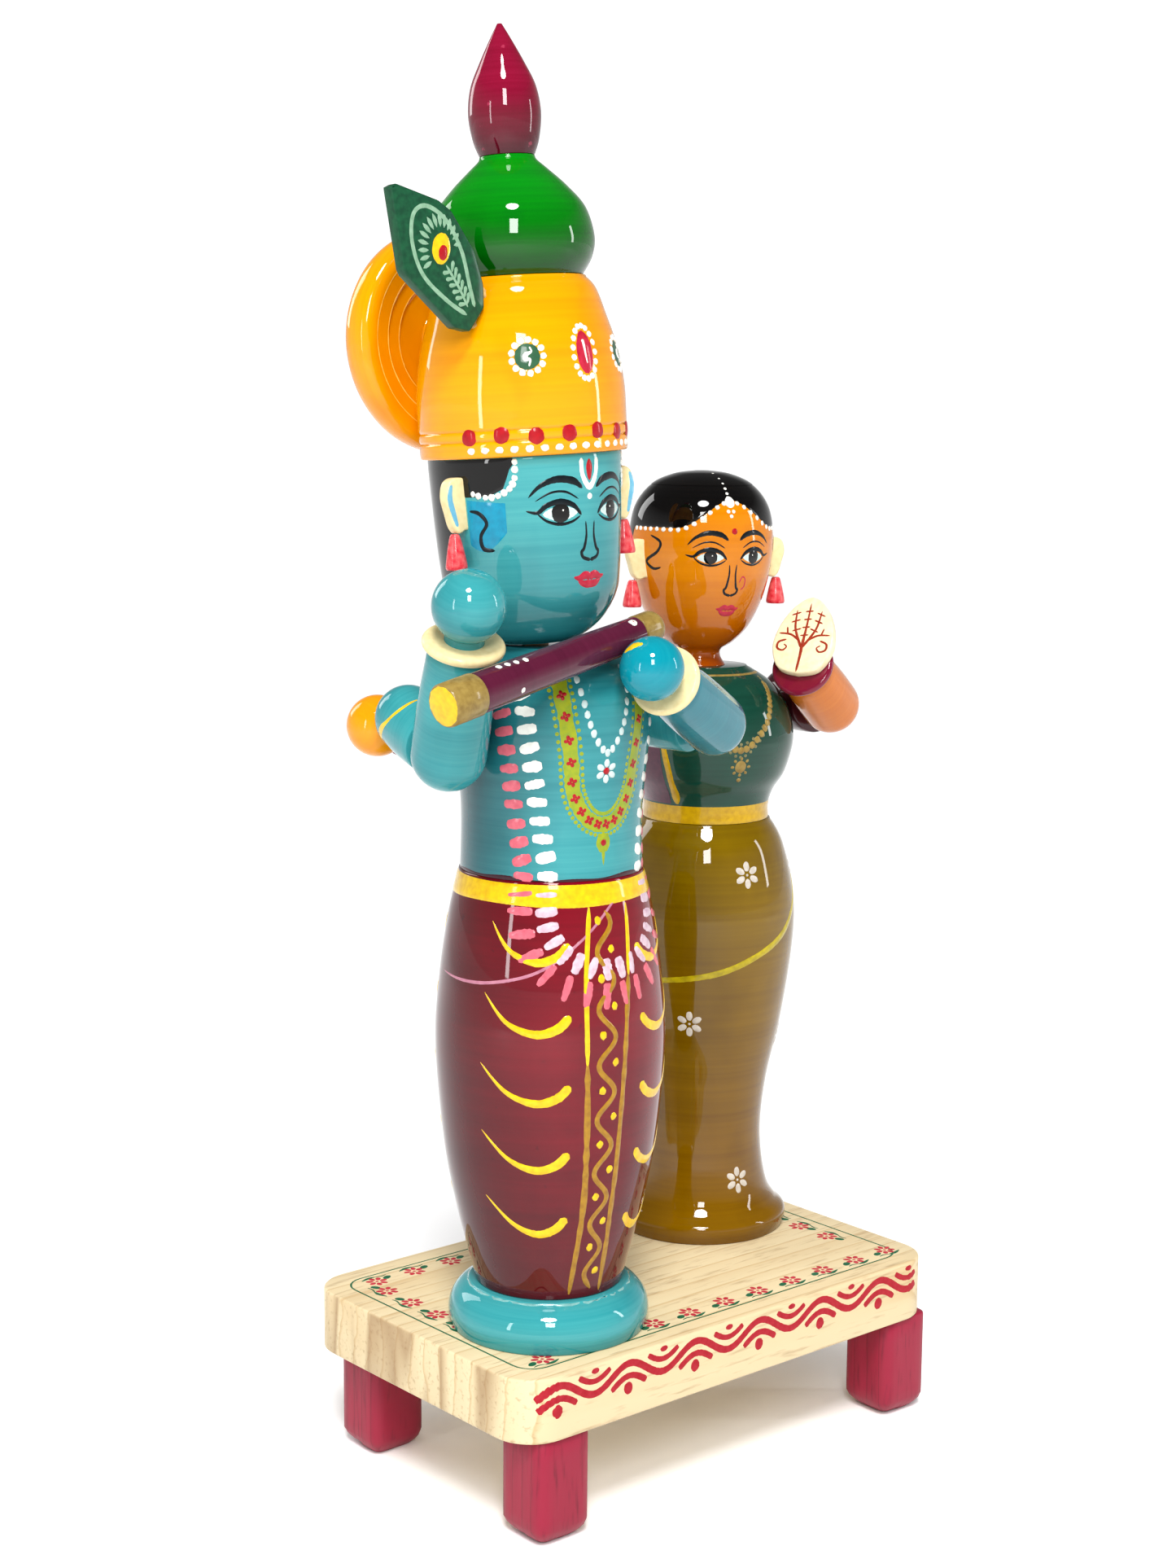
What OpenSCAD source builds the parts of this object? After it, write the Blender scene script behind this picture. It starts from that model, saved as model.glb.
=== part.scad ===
// A pair of lathe-turned, lacquered wooden dolls on a painted four-legged stand:
// a flute player with a tall crown, and a companion whose arm reaches behind the player's back.
// Millimetres. +Z is up, -Y is the front, and the stand's legs rest on z = 0.

/* [Stand] */
// Length of the board
board_l = 133; // [126:1:150]
// Depth of the board
board_w = 83; // [78:1:95]
// Thickness of the board
board_t = 15; // [13:1:18]
// Radius of the board's upright corners
board_corner = 10; // [6:1:14]
// Height of the legs
leg_h = 25; // [20:1:30]
// Width of a leg across its flats
leg_w = 15; // [13:1:17]
// Radius of a leg's upright edges
leg_edge = 2.5; // [1:0.5:4]

/* [Flute player] */
// Height of the teal ring under the skirt
ring_h = 11; // [9:0.5:13]
// Height of the skirt with its belt
skirt_h = 96.5; // [90:0.5:105]
// Height of the torso
torso_h = 50; // [46:0.5:54]
// Height of the head
head_h = 41; // [39:0.2:43]
// Height of the crown
crown_h = 38; // [36:0.2:40]
// Height of the bulb on the crown
bulb_h = 25.8; // [24:0.2:28]
// Height of the pointed finial
finial_h = 27.6; // [25:0.2:30]
// Sideways lean of the head and crown, in degrees
head_lean = 3.6; // [3:0.1:4.2]
// Radius of the disc behind the crown
halo_r = 25.2; // [24:0.2:27]
// Thickness of the disc behind the crown
halo_t = 9; // [7:0.5:10]

/* [Companion] */
// Height of the sari skirt
sari_h = 107; // [100:1:112]
// Height of the bodice with the waistband under it
bodice_h = 38.6; // [36:0.2:41]
// Height of the head with its neck
companion_head_h = 48.4; // [46:0.2:51]
// How far the companion turns towards the player, in degrees
companion_turn = 17; // [10:1:22]

/* [Arms] */
// Radius of the player's upper arms
upper_arm_r = 7.5; // [6.5:0.1:7.6]
// Radius of the player's right forearm at its elbow
forearm_r = 8.3; // [7.5:0.1:8.4]
// Radius of the player's right forearm at its wrist
wrist_r = 7.4; // [6.5:0.1:7.6]
// Radius of the player's right bangle
bangle_r = 8.9; // [8.4:0.1:9.6]
// Thickness of a bangle
bangle_t = 2; // [1.5:0.1:2.6]
// Radius of the player's right ball hand
hand_r = 7.9; // [7:0.1:8]
// How small the player's left arm is beside the right one
left_arm_k = 0.89; // [0.85:0.01:1]

/* [Flute] */
// Length of the flute
flute_l = 65; // [60:0.5:66]
// Radius of the flute's blown end
flute_r = 4.6; // [4:0.1:4.8]
// Radius of the flute's thin end
flute_tip_r = 3.6; // [3:0.1:3.8]

/* [Pegs and screws] */
// Radius of the dowels inside the turned bodies
dowel_r = 3; // [2.5:0.1:3.5]
// Radius of the pegs inside the arms
peg_r = 1.5; // [1.2:0.1:1.8]
// Radial room for glue round a dowel or a peg
glue = 0.05; // [0.05:0.01:0.1]

/* [Hidden] */

$fn = 96;
teal = [0.16, 0.55, 0.58];
maroon = [0.45, 0.03, 0.10];
yellow = [0.95, 0.60, 0.05];
cream = [0.90, 0.82, 0.62];
orange = [0.80, 0.42, 0.05];

// The board's centre, so that the whole object's box is centred on the origin
stand_at = [5.3, 5.2];
board_top = leg_h + board_t;
player_at = [stand_at.x - 37, stand_at.y - 14];
companion_at = [stand_at.x + 39.5, stand_at.y + 16.5];
// Legs stand in from the board's edges by these amounts at their centres
leg_in_x = 13;
leg_in_front = 8.5;
leg_in_back = 12.5;
leg_pos = [
  [stand_at.x - board_l / 2 + leg_in_x, stand_at.y - board_w / 2 + leg_in_front],
  [stand_at.x + board_l / 2 - leg_in_front, stand_at.y - board_w / 2 + leg_in_front],
  [stand_at.x - board_l / 2 + leg_in_x, stand_at.y + board_w / 2 - leg_in_back],
  [stand_at.x + board_l / 2 - leg_in_front, stand_at.y + board_w / 2 - leg_in_back]
];
leg_dowel_up = 9;
leg_dowel_down = 10;
screw_r = 1.9;
screw_head_r = 3.9;
screw_head_h = 2.6;
screw_up = 24;

// Heights of the seams between the turned pieces
skirt_z = board_top + ring_h;
torso_z = skirt_z + skirt_h;
torso_top = torso_z + torso_h;
bodice_z = board_top + sari_h;
bodice_top = bodice_z + bodice_h;
seam = 0.06;

// The leaning head stack: its foot, and the way in which it leans
lean_dir = [-0.758, 0.652];
neck_gap = 0.7;
neck_off = 3.9;
head_foot = concat(player_at + neck_off * lean_dir, torso_top + neck_gap);

// ---- Outlines ----

// A smooth curve through points p: the Catmull-Rom form, with n pieces between neighbours
function along(p, i) = p[max(0, min(len(p) - 1, i))];
function blend(a, b, c, d, t) =
  0.5 * (2 * b + (c - a) * t + (2 * a - 5 * b + 4 * c - d) * t * t + (3 * b - a - 3 * c + d) * t * t * t);
function smooth(p, n = 4) = concat(
  [for (i = [0:len(p) - 2], k = [0:n - 1])
    blend(along(p, i - 1), p[i], p[i + 1], along(p, i + 2), k / n)],
  [p[len(p) - 1]]);

// A turned piece from an outline of [radius, height] points, stretched to height h
module turned(p, h, n = 4) {
  k = h / p[len(p) - 1].y;
  line = [for (q = smooth(p, n)) [q.x, q.y * k]];
  rotate_extrude() polygon(concat([[0, 0]], line, [[0, h]]));
}

// The same piece, larger all round by a glue line, to cut its neighbours to shape
module skin(p, h) { turned([for (q = p) [q.x + seam, q.y]], h); }

module at_player(z) { translate([player_at.x, player_at.y, z]) children(); }
module at_companion(z) {
  translate([companion_at.x, companion_at.y, z]) rotate([0, 0, -companion_turn]) children();
}
module in_head(z = 0) {
  translate(head_foot) rotate(a = head_lean, v = [-lean_dir.y, lean_dir.x, 0])
    translate([0, 0, z]) children();
}

// Turns +Z to point from a to b, with its foot at a
module aim(a, b) {
  d = b - a;
  translate(a) rotate([0, acos(d.z / norm(d)), atan2(d.y, d.x)]) children();
}
function unit(a, b) = (b - a) / norm(b - a);

module dowel(r, z0, z1) { translate([0, 0, z0]) cylinder(r = r, h = z1 - z0); }
module bore(r, z0, z1) { dowel(r + glue, z0 - seam, z1 + 0.5); }

// ---- Stand ----

module rounded_block(l, w, h, r) {
  linear_extrude(h) union() {
    square([l - 2 * r, w], center = true);
    square([l, w - 2 * r], center = true);
    for (x = [-1, 1], y = [-1, 1]) translate([x * (l / 2 - r), y * (w / 2 - r)]) circle(r = r);
  }
}

module stand_board() {
  color([0.90, 0.80, 0.62]) difference() {
    translate([stand_at.x, stand_at.y, leg_h]) rounded_block(board_l, board_w, board_t, board_corner);
    for (p = leg_pos) translate([p.x, p.y, leg_h - 1])
      cylinder(r = dowel_r + glue, h = leg_dowel_up + 1.5);
    for (p = [player_at, companion_at]) translate([p.x, p.y, leg_h - 1]) {
      cylinder(r = screw_r + glue, h = board_t + 2);
      cylinder(r = screw_head_r + 0.2, h = screw_head_h + 1.4);
    }
  }
}

module leg(p) {
  color([0.72, 0.10, 0.25]) translate([p.x, p.y, 0]) difference() {
    rounded_block(leg_w, leg_w, leg_h - seam / 2, leg_edge);
    translate([0, 0, leg_h - leg_dowel_down - 0.5]) cylinder(r = dowel_r + glue, h = leg_dowel_down + 1);
  }
}

module leg_dowels() {
  color(cream) for (p = leg_pos) translate([p.x, p.y, leg_h - leg_dowel_down])
    cylinder(r = dowel_r, h = leg_dowel_down + leg_dowel_up);
}

module figure_screws() {
  color("silver") for (p = [player_at, companion_at]) translate([p.x, p.y, leg_h + 0.2]) difference() {
    union() {
      cylinder(r = screw_head_r, h = screw_head_h);
      cylinder(r = screw_r, h = screw_head_h + board_t + screw_up);
    }
    for (a = [0, 90]) rotate([0, 0, a]) cube([4.5, 0.8, 2.4], center = true);
  }
}
screw_top = leg_h + 0.2 + screw_head_h + board_t + screw_up;

// ---- Flute player: turned body ----

ring_line = [[22.3, 0], [23.2, 3.6], [22.5, 7], [20.4, 9.6], [17.4, 11]];
skirt_line = [[16.9, 0], [19.3, 9], [21.2, 16.7], [24.2, 32.3], [26.2, 55], [25.4, 70.6], [23.3, 85.6], [20.8, 96.5]];
torso_line = [[20.6, 0], [20.4, 12.5], [21.1, 22], [22, 31.5], [21.6, 39], [19.9, 44], [16.6, 47.9], [12, 50]];
head_line = [[8, 0], [12, 1.7], [15.8, 5], [18.6, 9.8], [19.6, 14.4], [20.5, 25], [21.3, 41]];
crown_line = [[22.8, 0], [22.9, 7], [22.8, 14.5], [21.6, 22.5], [19.6, 29.4], [17.6, 35.2], [15.2, 38]];
bulb_line = [[15, 0], [17.2, 3.6], [18, 8], [16.4, 14.2], [12.6, 19], [8.6, 22.8], [6.4, 24.8], [6, 25.8]];
finial_line = [[6, 0], [7.2, 3.4], [7.9, 8.8], [7.1, 14.4], [4.9, 19.4], [2.3, 24.4], [0.5, 27.6]];

crown_z = head_h + seam;
bulb_z = crown_z + crown_h + seam;
finial_z = bulb_z + bulb_h + seam;

// Dowels that join one turned piece to the next: [height of the seam, half length, radius]
waist_dowel = [torso_z, 12];
neck_dowel = [0, 11];
crown_dowel = [crown_z, 10];
bulb_dowel = [bulb_z, 9];
finial_dowel = [finial_z, 7];
tip_dowel_r = 2;

module player_base_ring() {
  color(teal) difference() {
    at_player(board_top) turned(ring_line, ring_h - seam);
    at_player(board_top - 1) cylinder(r = screw_r + glue, h = ring_h + 2);
  }
}

module player_skirt() {
  color(maroon) difference() {
    at_player(skirt_z) turned(skirt_line, skirt_h - seam, 5);
    at_player(skirt_z - 1) cylinder(r = screw_r + glue, h = screw_top - skirt_z + 2);
    at_player(0) bore(dowel_r, torso_z - waist_dowel[1] - 1, torso_z);
  }
}

module player_torso() {
  color(teal) difference() {
    at_player(torso_z) turned(torso_line, torso_h);
    at_player(0) bore(dowel_r, torso_z, torso_z + waist_dowel[1]);
    in_head() bore(dowel_r, -neck_dowel[1] - 1, 1);
    arm_bores(player_shoulders);
  }
}

module player_head() {
  color(teal) difference() {
    in_head() turned(head_line, head_h);
    in_head() bore(dowel_r, -1, neck_dowel[1]);
    in_head() bore(dowel_r, crown_z - crown_dowel[1] - 1, crown_z);
    for (s = [-1, 1]) in_head() ear_peg_bore(s);
  }
}

groove_z = [3.4, 5.6];
module player_crown() {
  color(yellow) difference() {
    in_head(crown_z) turned(crown_line, crown_h);
    for (z = groove_z) in_head(crown_z + z) rotate_extrude() translate([23.2, 0]) circle(r = 0.6, $fn = 24);
    in_head() bore(dowel_r, crown_z, crown_z + crown_dowel[1]);
    in_head() bore(dowel_r, bulb_z - bulb_dowel[1] - 1, bulb_z);
    in_head(halo_up) rotate([-90, 0, 0]) cylinder(r = dowel_r + glue, h = halo_back + 1);
    feather_slot();
  }
}

module player_crown_bulb() {
  color("green") difference() {
    in_head(bulb_z) turned(bulb_line, bulb_h);
    in_head() bore(dowel_r, bulb_z, bulb_z + bulb_dowel[1]);
    in_head() bore(tip_dowel_r, finial_z - finial_dowel[1] - 1, finial_z);
  }
}

module player_finial() {
  color(maroon) difference() {
    in_head(finial_z) turned(finial_line, finial_h);
    in_head() bore(tip_dowel_r, finial_z, finial_z + finial_dowel[1]);
  }
}

module player_core_dowels() {
  color(cream) {
    at_player(0) dowel(dowel_r, torso_z - waist_dowel[1], torso_z + waist_dowel[1]);
    in_head() dowel(dowel_r, -neck_dowel[1], neck_dowel[1]);
    in_head() dowel(dowel_r, crown_z - crown_dowel[1], crown_z + crown_dowel[1]);
    in_head() dowel(dowel_r, bulb_z - bulb_dowel[1], bulb_z + bulb_dowel[1]);
    in_head() dowel(tip_dowel_r, finial_z - finial_dowel[1], finial_z + finial_dowel[1]);
  }
}

// ---- Flute player: halo, feather, ears ----

halo_up = 67;
// Distance from the head's axis to the halo's back face
halo_back = 31.4;
halo_line = [[0, 3], [13.4, 3], [14, 2.4], [17, 2.2], [17.6, 1.2], [21, 0.6], [23.6, 0.2], [24.9, 1.6], [25.2, 4.5], [24.6, 7.6], [23, 9]];
halo_peg_in = 13;
// Length of the hub between the disc and the crown
hub_l = 4;

module in_halo() {
  in_head(halo_up) translate([0, halo_back - halo_t, 0]) rotate([-90, 0, 0]) children();
}

module player_halo() {
  k = halo_r / 25.2;
  color(yellow) difference() {
    union() {
      in_halo() rotate_extrude()
        polygon(concat([for (q = halo_line) [q.x * k, q.y * halo_t / 9]], [[0, halo_t]]));
      in_halo() translate([0, 0, -hub_l]) cylinder(r = 5.5, h = hub_l + 4);
    }
    in_halo() translate([0, 0, -hub_l - 1]) cylinder(r = dowel_r + glue, h = hub_l + halo_t - 1);
    // the hub's end is hollowed to fit the crown's back
    in_head(crown_z) skin(crown_line, crown_h);
  }
}

module player_halo_peg() {
  color(cream) in_halo() translate([0, 0, -halo_peg_in]) cylinder(r = dowel_r, h = halo_peg_in + halo_t - 2.6);
}

// The feather is a flat plate that faces the front; its foot sits in a slot in the crown
feather_t = 3;
feather_y = -9;
feather_line = [
  [-39.2, 97], [-37.8, 97.6], [-27.3, 94.4], [-24, 92.2], [-18.6, 84],
  [-16.8, 77.2], [-17, 72.4], [-21.1, 67.6], [-24.9, 68.4], [-37.2, 79.8]
];
module feather_plate(grow = 0) {
  in_head() translate([0, feather_y + feather_t / 2 + grow, 0]) rotate([90, 0, 0])
    linear_extrude(feather_t + 2 * grow) polygon(feather_line);
}
module player_feather() { color([0.05, 0.25, 0.15]) feather_plate(); }
module feather_slot() { feather_plate(0.08); }

ear_z = 25.4;
ear_h = 11.8;
ear_t = 3;
// The left ear sits a little further forward than the right one
function ear_y(side) = side < 0 ? -2.8 : -6;
ear_line = [[0, 0.6], [1.6, 0], [2.9, 1.4], [3.7, 4.2], [4.5, 7.6], [3.9, 10.6], [2.2, 11.8], [0, 11.8]];
// How far out an ear's outline starts, a little inside the head's surface
ear_in = 20.7;
ear_root = 3;
ear_peg_r = 1;
pin_r = 0.45;
// An ear plate with a root that is cut to the head's surface, and a hole for its earring's pin
module ear_plate(side, h, inner, ring_x) {
  k = h / 11.8;
  line = concat([[-ear_root, 0.6]], smooth(ear_line, 3), [[-ear_root, 11.8]]);
  difference() {
    translate([side * inner, 0, 0]) rotate([90, 0, 0]) translate([0, 0, -ear_t / 2])
      mirror([side < 0 ? 1 : 0, 0, 0]) linear_extrude(ear_t) polygon([for (q = line) [q.x, q.y * k]]);
    translate([side * ring_x, 0, -0.5]) cylinder(r = pin_r + glue, h = 2.2, $fn = 24);
  }
}
module ear_peg_bore(side) {
  translate([0, ear_y(side), ear_z + 7]) rotate([0, side * 90, 0]) translate([0, 0, 14])
    cylinder(r = ear_peg_r + glue, h = 10, $fn = 32);
}
// Each ear and its own short peg are carved from one piece
module player_ear(side) {
  color(cream) in_head() {
    difference() {
      translate([0, ear_y(side), ear_z]) ear_plate(side, ear_h, ear_in, earring_x);
      skin(head_line, head_h);
    }
    translate([0, ear_y(side), ear_z + 7]) rotate([0, side * 90, 0]) translate([0, 0, 15])
      cylinder(r = ear_peg_r, h = ear_in - 15 + 1, $fn = 32);
  }
}

earring_x = 22.7;
earring_line = [[2.2, 0], [2.35, 1], [1.9, 4], [1.2, 7.4], [0.8, 8.2]];
// Each earring hangs from a pin that goes into the foot of its ear
module earring(h) {
  turned(earring_line, h);
  translate([0, 0, h - 0.5]) cylinder(r = pin_r, h = 1.6, $fn = 24);
}
module player_earring(side) {
  h = 7.6;
  color([0.80, 0.08, 0.15]) in_head() translate([side * earring_x, ear_y(side), ear_z - h - 0.1]) earring(h);
}

// ---- Arms ----

// An arm piece with a round start and a flat end, for a length l to the flat end
module arm_piece(r0, r1, l) {
  rotate_extrude() polygon(concat(
    [for (k = [0:8]) [r0 * sin(90 * k / 8), -r0 * cos(90 * k / 8)]],
    [for (k = [1:4]) [r0 + (r1 - r0) * k / 4 + 0.25 * sin(180 * k / 4), l * k / 4]],
    [[0, l]]));
}
module bangle(r, t) {
  rotate_extrude() polygon(concat(
    [[0, 0], [r - t / 2, 0]],
    [for (k = [1:5]) [r - t / 2 + t / 2 * sin(180 * k / 6), t / 2 - t / 2 * cos(180 * k / 6)]],
    [[r - t / 2, t], [0, t]]));
}
// A ball hand on a short neck with a flat foot that sits on the bangle
neck_k = 0.55;
hand_neck = 1.5;
module ball_hand(r) {
  foot = neck_k * r;
  rise = hand_rise(r);
  translate([0, 0, rise]) sphere(r = r);
  cylinder(r = foot, h = rise);
}
function hand_rise(r) = sqrt(1 - neck_k * neck_k) * r + hand_neck;

// Points of the arms, from each figure's own axis and up from the board
function from_player(x, y, z) = [player_at.x + x, player_at.y + y, board_top + z];
function from_companion(x, y, z) = [companion_at.x + x, companion_at.y + y, board_top + z];

p_right_shoulder = from_player(-28.6, 15.1, 141.4);
p_right_elbow = from_player(-30.8, -2.3, 135.8);
p_right_hand = from_player(-36, -16, 168.6);
p_left_shoulder = from_player(28.9, 8, 140);
p_left_elbow = from_player(35.2, -15.4, 138.5);
p_left_hand = from_player(2, -30.8, 154.5);

c_left_shoulder = from_companion(30.2, 0, 135);
c_left_elbow = from_companion(27.6, -16.6, 135);
c_left_palm = from_companion(9.2, -24.1, 146.8);
c_right_shoulder = from_player(47, 35, 137.6);
c_right_elbow = from_player(14, 38.4, 137.6);
c_right_hand = from_player(-25.9, 30.6, 138);

// Pegs that hold each upper arm to its torso: [point inside the torso, point inside the arm]
player_shoulders = [
  [from_player(-12, 6, 138), from_player(-31, 11, 140)],
  [from_player(12, 1, 139.6), from_player(31, 2, 139.6)]
];
companion_shoulders = [
  [from_companion(12, -1, 133), from_companion(32, -1.4, 135)],
  [from_companion(-12, 2, 134), from_companion(-31, 4.6, 137.4)]
];
module arm_bores(pegs) {
  for (p = pegs) aim(p[0], p[1]) translate([0, 0, -0.5])
    cylinder(r = peg_r + glue, h = norm(p[1] - p[0]) + 1, $fn = 48);
}
module pegs(list) {
  for (p = list) aim(p[0], p[1]) cylinder(r = peg_r, h = norm(p[1] - p[0]), $fn = 48);
}

// Where the forearm ends and the bangle starts, measured back from the hand's centre
function wrist_at(elbow, hand, r) = hand - unit(elbow, hand) * (hand_rise(r) + bangle_t);

// A filed flat on the forearm's elbow, on which the upper arm's end is glued
flat_in = 6.6;
module beyond_flat(shoulder, elbow) {
  aim(elbow + unit(elbow, shoulder) * flat_in, shoulder) translate([-15, -15, 0]) cube([30, 30, 40]);
}
function wrist_peg(elbow, hand, r) = [wrist_at(elbow, hand, r) - unit(elbow, hand) * 7, hand];
function elbow_peg(shoulder, elbow) =
  [elbow + unit(elbow, shoulder) * 1, elbow + unit(elbow, shoulder) * (flat_in + 4)];

// k scales the radii of a whole arm
module forearm(shoulder, elbow, hand, k = 1) {
  r = hand_r * k;
  difference() {
    aim(elbow, hand) arm_piece(forearm_r * k, wrist_r * k, norm(wrist_at(elbow, hand, r) - elbow) - seam);
    beyond_flat(shoulder, elbow);
    arm_bores([wrist_peg(elbow, hand, r), elbow_peg(shoulder, elbow)]);
  }
}
module upper_arm(shoulder, elbow, r, peg) {
  difference() {
    aim(shoulder, elbow) arm_piece(r, r, norm(elbow - shoulder) - flat_in - seam);
    arm_bores([peg, elbow_peg(shoulder, elbow)]);
  }
}
module wrist_bangle(elbow, hand, k = 1) {
  r = hand_r * k;
  difference() {
    aim(wrist_at(elbow, hand, r), hand) bangle(bangle_r * k, bangle_t);
    arm_bores([wrist_peg(elbow, hand, r)]);
  }
}
module hand(elbow, centre, k = 1) {
  r = hand_r * k;
  difference() {
    aim(centre - unit(elbow, centre) * hand_rise(r), centre + unit(elbow, centre)) ball_hand(r);
    arm_bores([wrist_peg(elbow, centre, r)]);
  }
}

module player_upper_arm_right() {
  color(teal) upper_arm(p_right_shoulder, p_right_elbow, upper_arm_r, player_shoulders[0]);
}
module player_upper_arm_left() {
  color(teal) upper_arm(p_left_shoulder, p_left_elbow, upper_arm_r, player_shoulders[1]);
}
module player_forearm_right() { color(teal) forearm(p_right_shoulder, p_right_elbow, p_right_hand); }
module player_forearm_left() { color(teal) forearm(p_left_shoulder, p_left_elbow, p_left_hand, left_arm_k); }
module player_bangle_right() { color(cream) wrist_bangle(p_right_elbow, p_right_hand); }
module player_bangle_left() { color(cream) wrist_bangle(p_left_elbow, p_left_hand, left_arm_k); }
module player_hand_right() { color(teal) hand(p_right_elbow, p_right_hand); }
module player_hand_left() { color(teal) hand(p_left_elbow, p_left_hand, left_arm_k); }
module player_arm_pegs() {
  color(cream) pegs([
    player_shoulders[0], player_shoulders[1],
    elbow_peg(p_right_shoulder, p_right_elbow), elbow_peg(p_left_shoulder, p_left_elbow),
    wrist_peg(p_right_elbow, p_right_hand, hand_r),
    wrist_peg(p_left_elbow, p_left_hand, hand_r * left_arm_k)
  ]);
}

// ---- Flute ----

flute_from = from_player(-50.4, -26.2, 149.8);
flute_to = from_player(14, -20.6, 162.9);

module flute() {
  l = flute_l;
  cap = 0.9 * flute_tip_r;
  color([0.30, 0.05, 0.12]) aim(flute_from, flute_to) rotate_extrude() polygon(concat(
    [[0, 0], [flute_r - 0.2, 0], [flute_r, 0.3], [flute_r, 8.6], [flute_r - 0.25, 9], [flute_tip_r, l - cap - 4.4]],
    [for (k = [0:8]) [(flute_tip_r + 0.15) * cos(90 * k / 8), l - cap - 0.01 + cap * sin(90 * k / 8)]]
  ));
}

// ---- Companion ----

sari_line = [[21.5, 0], [22.3, 4], [19.6, 7], [17.4, 11], [15.9, 19], [15.6, 28], [17, 40], [20, 54], [22.4, 70], [23.2, 82], [22.2, 91], [19.6, 101], [16.2, 107]];
bodice_line = [[16, 0], [15.9, 3.4], [17.2, 7.4], [20, 12], [21.9, 19], [21.6, 24.4], [19.4, 30.4], [15.6, 34.8], [9.6, 38.6]];
companion_head_line = [[6.6, 0], [5.3, 2.2], [5.6, 4], [8.6, 6], [12.4, 10.2], [15.6, 17], [17.5, 25], [18, 32.4], [16.6, 39.8], [12.6, 45], [7, 47.6], [1.5, 48.4]];
head_back = [-1.6, 1.4];

module companion_sari() {
  color([0.42, 0.30, 0.03]) difference() {
    at_companion(board_top) turned(sari_line, sari_h - seam);
    at_companion(board_top - 1) cylinder(r = screw_r + glue, h = screw_top - board_top + 2);
    at_companion(0) bore(dowel_r, bodice_z - waist_dowel[1] - 1, bodice_z);
  }
}
module companion_bodice() {
  color([0.03, 0.20, 0.13]) difference() {
    at_companion(bodice_z) turned(bodice_line, bodice_h - seam);
    at_companion(0) bore(dowel_r, bodice_z, bodice_z + waist_dowel[1]);
    translate([head_back.x, head_back.y, 0]) at_companion(0) bore(dowel_r, bodice_top - 10, bodice_top + 1);
    arm_bores(companion_shoulders);
  }
}
module at_companion_head(z = 0) {
  translate([head_back.x, head_back.y, 0]) at_companion(bodice_top + z) children();
}
module companion_head() {
  color(orange) difference() {
    at_companion_head() turned(companion_head_line, companion_head_h, 5);
    at_companion_head() bore(dowel_r, -1, 10);
    for (s = [-1, 1]) at_companion_head() companion_ear_bore(s);
  }
}
module companion_core_dowels() {
  color(cream) {
    at_companion(0) dowel(dowel_r, bodice_z - waist_dowel[1], bodice_z + waist_dowel[1]);
    at_companion_head() dowel(dowel_r, -9, 9.6);
  }
}

c_ear_z = 21.8;
c_ear_h = 10;
c_ear_y = -2.5;
c_ear_in = 17.2;
c_earring_x = 20;
module companion_ear_bore(side) {
  translate([0, c_ear_y, c_ear_z + 6]) rotate([0, side * 90, 0]) translate([0, 0, 11.5])
    cylinder(r = ear_peg_r + glue, h = 9, $fn = 32);
}
module companion_ear(side) {
  color(cream) at_companion_head() {
    difference() {
      translate([0, c_ear_y, c_ear_z]) ear_plate(side, c_ear_h, c_ear_in, c_earring_x);
      skin(companion_head_line, companion_head_h);
    }
    translate([0, c_ear_y, c_ear_z + 6]) rotate([0, side * 90, 0]) translate([0, 0, 12])
      cylinder(r = ear_peg_r, h = 7.2, $fn = 32);
  }
}
module companion_earring(side) {
  h = 6.6;
  color([0.70, 0.06, 0.14]) at_companion_head() translate([side * c_earring_x, c_ear_y, c_ear_z - h - 0.1])
    earring(h);
}

// ---- Companion: arms ----

c_upper_arm_r = 8;
c_arm_k = 0.89;
c_hand_r = hand_r * c_arm_k;

module companion_upper_arm_left() {
  color([0.25, 0.06, 0.08]) upper_arm(c_left_shoulder, c_left_elbow, c_upper_arm_r, companion_shoulders[0]);
}
module companion_upper_arm_right() {
  color([0.25, 0.06, 0.08]) upper_arm(c_right_shoulder, c_right_elbow, forearm_r * c_arm_k, companion_shoulders[1]);
}
module companion_forearm_right() { color(orange) forearm(c_right_shoulder, c_right_elbow, c_right_hand, c_arm_k); }
module companion_bangle_right() { color(maroon) wrist_bangle(c_right_elbow, c_right_hand, c_arm_k); }
module companion_hand_right() { color(orange) hand(c_right_elbow, c_right_hand, c_arm_k); }

left_palm_dir = unit(c_left_elbow, c_left_palm);
left_palm_peg = [c_left_palm - left_palm_dir * 9, c_left_palm + left_palm_dir * 1.4];
module companion_forearm_left() {
  color(orange) difference() {
    aim(c_left_elbow, c_left_palm)
      arm_piece(forearm_r * c_arm_k, wrist_r * c_arm_k, norm(c_left_palm - c_left_elbow) - bangle_t);
    beyond_flat(c_left_shoulder, c_left_elbow);
    arm_bores([left_palm_peg, elbow_peg(c_left_shoulder, c_left_elbow)]);
  }
}
module companion_bangle_left() {
  color(maroon) difference() {
    aim(c_left_palm - left_palm_dir * bangle_t, c_left_palm) bangle(bangle_r * c_arm_k, bangle_t - seam);
    arm_bores([left_palm_peg]);
  }
}
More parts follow.
